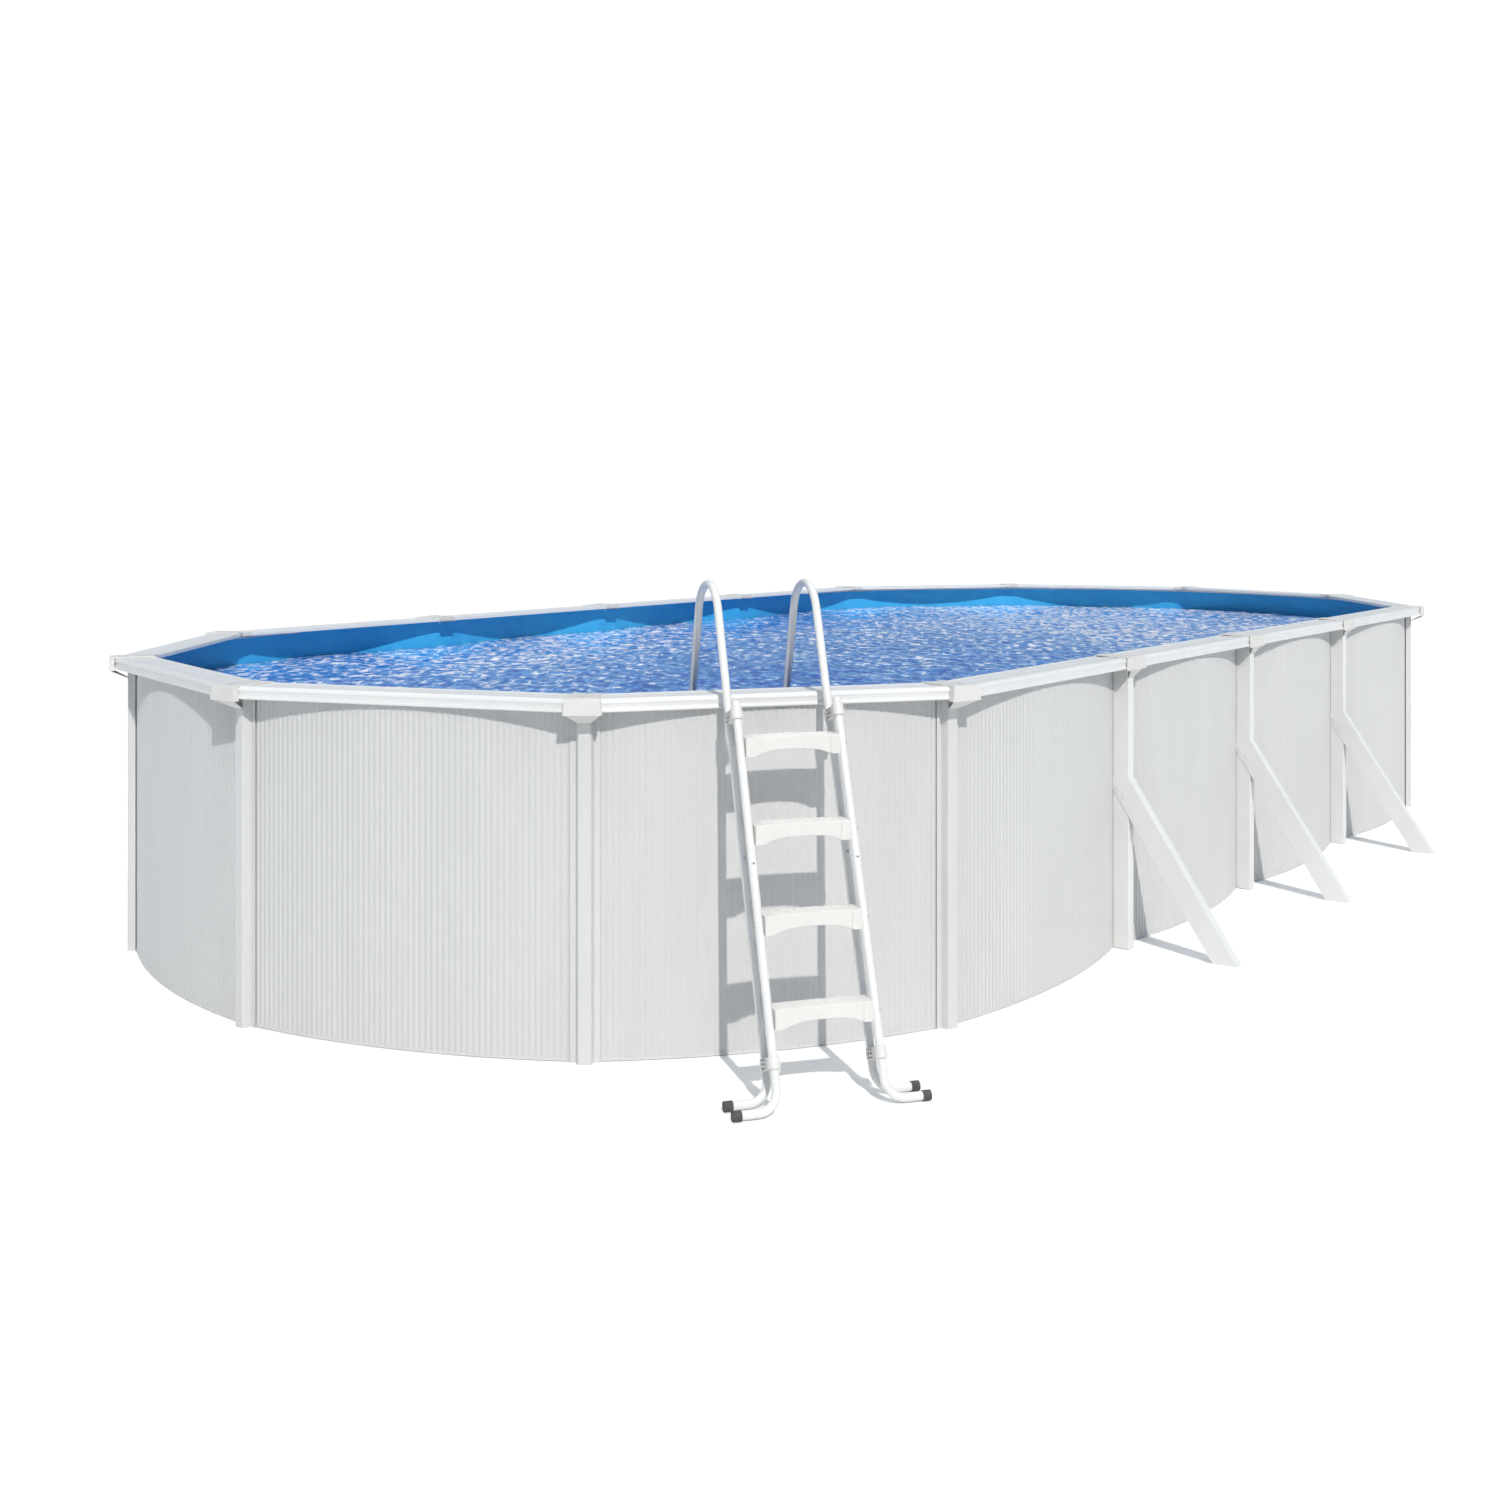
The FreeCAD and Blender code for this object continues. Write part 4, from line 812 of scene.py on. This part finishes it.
def clips():
    """Two upper and two lower clips of the step section, each with its thumb latch."""
    wing = lever_mesh()
    pivot = Matrix.Translation((0, 58, 6))
    for level, up in CLIP_HEIGHTS.items():
        mesh = connector_mesh(level == "upper")
        for side_name, side in (("left", 1), ("right", -1)):
            tag = "%s_%s" % (level, side_name)
            place = (LADDER @ Matrix.Translation((side * LADDER_HALF, outer_leg_out(up), up))
                     @ Matrix.Rotation(LEG_TILT, 4, "X") @ MILLIMETRES)
            clip = piece_from_mesh("clip_" + tag, mesh, place)
            placed(even_normals(clip), "step_section", "connector", "clip_resin", "connector_" + tag)
            lever = piece_from_mesh("latch_" + tag, wing, place @ pivot)
            lever_name = "latch_lever_" + tag
            placed(even_normals(lever), lever_name, "lever", "clip_resin", lever_name)


clips()


# ---------------------------------------------------------------- stage, light and camera

FLOOR_REACH = 160
FLOOR_DROP = 0.0006         # keeps the floor clear of the feet's undersides
BACKDROP_SIDES = 48
BACKDROP_RADIUS = 75
BACKDROP_HEIGHT = 60
SKY_COLOUR = (0.54, 0.75, 1.0, 1.0)
SKY_STRENGTH = 0.32
SUN_COLOUR = (1.0, 0.970, 0.930)
SUN_STRENGTH = 2.90
SUN_WIDTH = 0.9             # degrees
SUN_TRAVEL = (0.609, 0.793, -0.9)
TOP_STRENGTH = 1.35
TOP_WIDTH = 75
CAMERA_PLACE = (-8.8826, -5.5565, 2.019)
CAMERA_YAW = 0.6338         # radians from +X, looking level
CAMERA_LENS = 42.187
CAMERA_SENSOR = 36
CAMERA_SHIFT = -0.1671
CAMERA_REACH = 500


def stage_material(name, colour, glow):
    """A matt surface that also glows a little."""
    material = bpy.data.materials.new(name)
    material.use_nodes = True
    shader = material.node_tree.nodes["Principled BSDF"]
    shader.inputs["Base Color"].default_value = colour + (1.0,)
    shader.inputs["Roughness"].default_value = 0.9
    shader.inputs["Specular IOR Level"].default_value = 0.0
    shader.inputs["Emission Color"].default_value = (1.0, 1.0, 1.0, 1.0)
    shader.inputs["Emission Strength"].default_value = glow
    return material


def sun_light(name, strength, width):
    """A light from far away; width is its angle in degrees."""
    light = linked(name, bpy.data.lights.new(name, "SUN"))
    light.data.energy = strength
    light.data.angle = math.radians(width)
    return light


def studio():
    """A pale floor inside a pale backdrop, the sky, the sun and a soft light from above."""
    corners = [(-FLOOR_REACH, -FLOOR_REACH, 0), (FLOOR_REACH, -FLOOR_REACH, 0),
               (FLOOR_REACH, FLOOR_REACH, 0), (-FLOOR_REACH, FLOOR_REACH, 0)]
    floor = mesh_object("floor", corners, [[0, 1, 2, 3]])
    floor.location.z = -FLOOR_DROP
    floor.data.materials.append(stage_material("pale_floor", (0.86, 0.86, 0.85), 0.05))
    sides = BACKDROP_SIDES
    ring = [radial(360 * i / sides) * BACKDROP_RADIUS for i in range(sides)]
    backdrop = mesh_object("backdrop", ring + [point + Vector((0, 0, BACKDROP_HEIGHT)) for point in ring],
                           [[i, (i + 1) % sides, sides + (i + 1) % sides, sides + i] for i in range(sides)])
    backdrop.data.materials.append(stage_material("pale_backdrop", (0.5, 0.5, 0.5), 1.0))
    backdrop.visible_glossy = False
    backdrop.visible_diffuse = False
    backdrop.visible_shadow = False

    world = bpy.data.worlds.new("studio")
    world.use_nodes = True
    background = world.node_tree.nodes["Background"]
    background.inputs["Color"].default_value = SKY_COLOUR
    background.inputs["Strength"].default_value = SKY_STRENGTH
    scene.world = world
    sun = sun_light("key_light", SUN_STRENGTH, SUN_WIDTH)
    sun.data.color = SUN_COLOUR
    sun.rotation_euler = Vector(SUN_TRAVEL).to_track_quat("-Z", "Y").to_euler()
    sun_light("soft_top_light", TOP_STRENGTH, TOP_WIDTH)
    scene.view_settings.view_transform = "Standard"


def camera():
    """The photograph's viewpoint, level, with the shift that its framing needs."""
    view = linked("camera", bpy.data.cameras.new("camera"))
    view.data.sensor_width = CAMERA_SENSOR
    view.data.lens = CAMERA_LENS
    view.data.shift_y = CAMERA_SHIFT
    view.data.clip_end = CAMERA_REACH
    view.location = CAMERA_PLACE
    view.rotation_euler = (math.pi / 2, 0, CAMERA_YAW - math.pi / 2)
    scene.camera = view


studio()
camera()
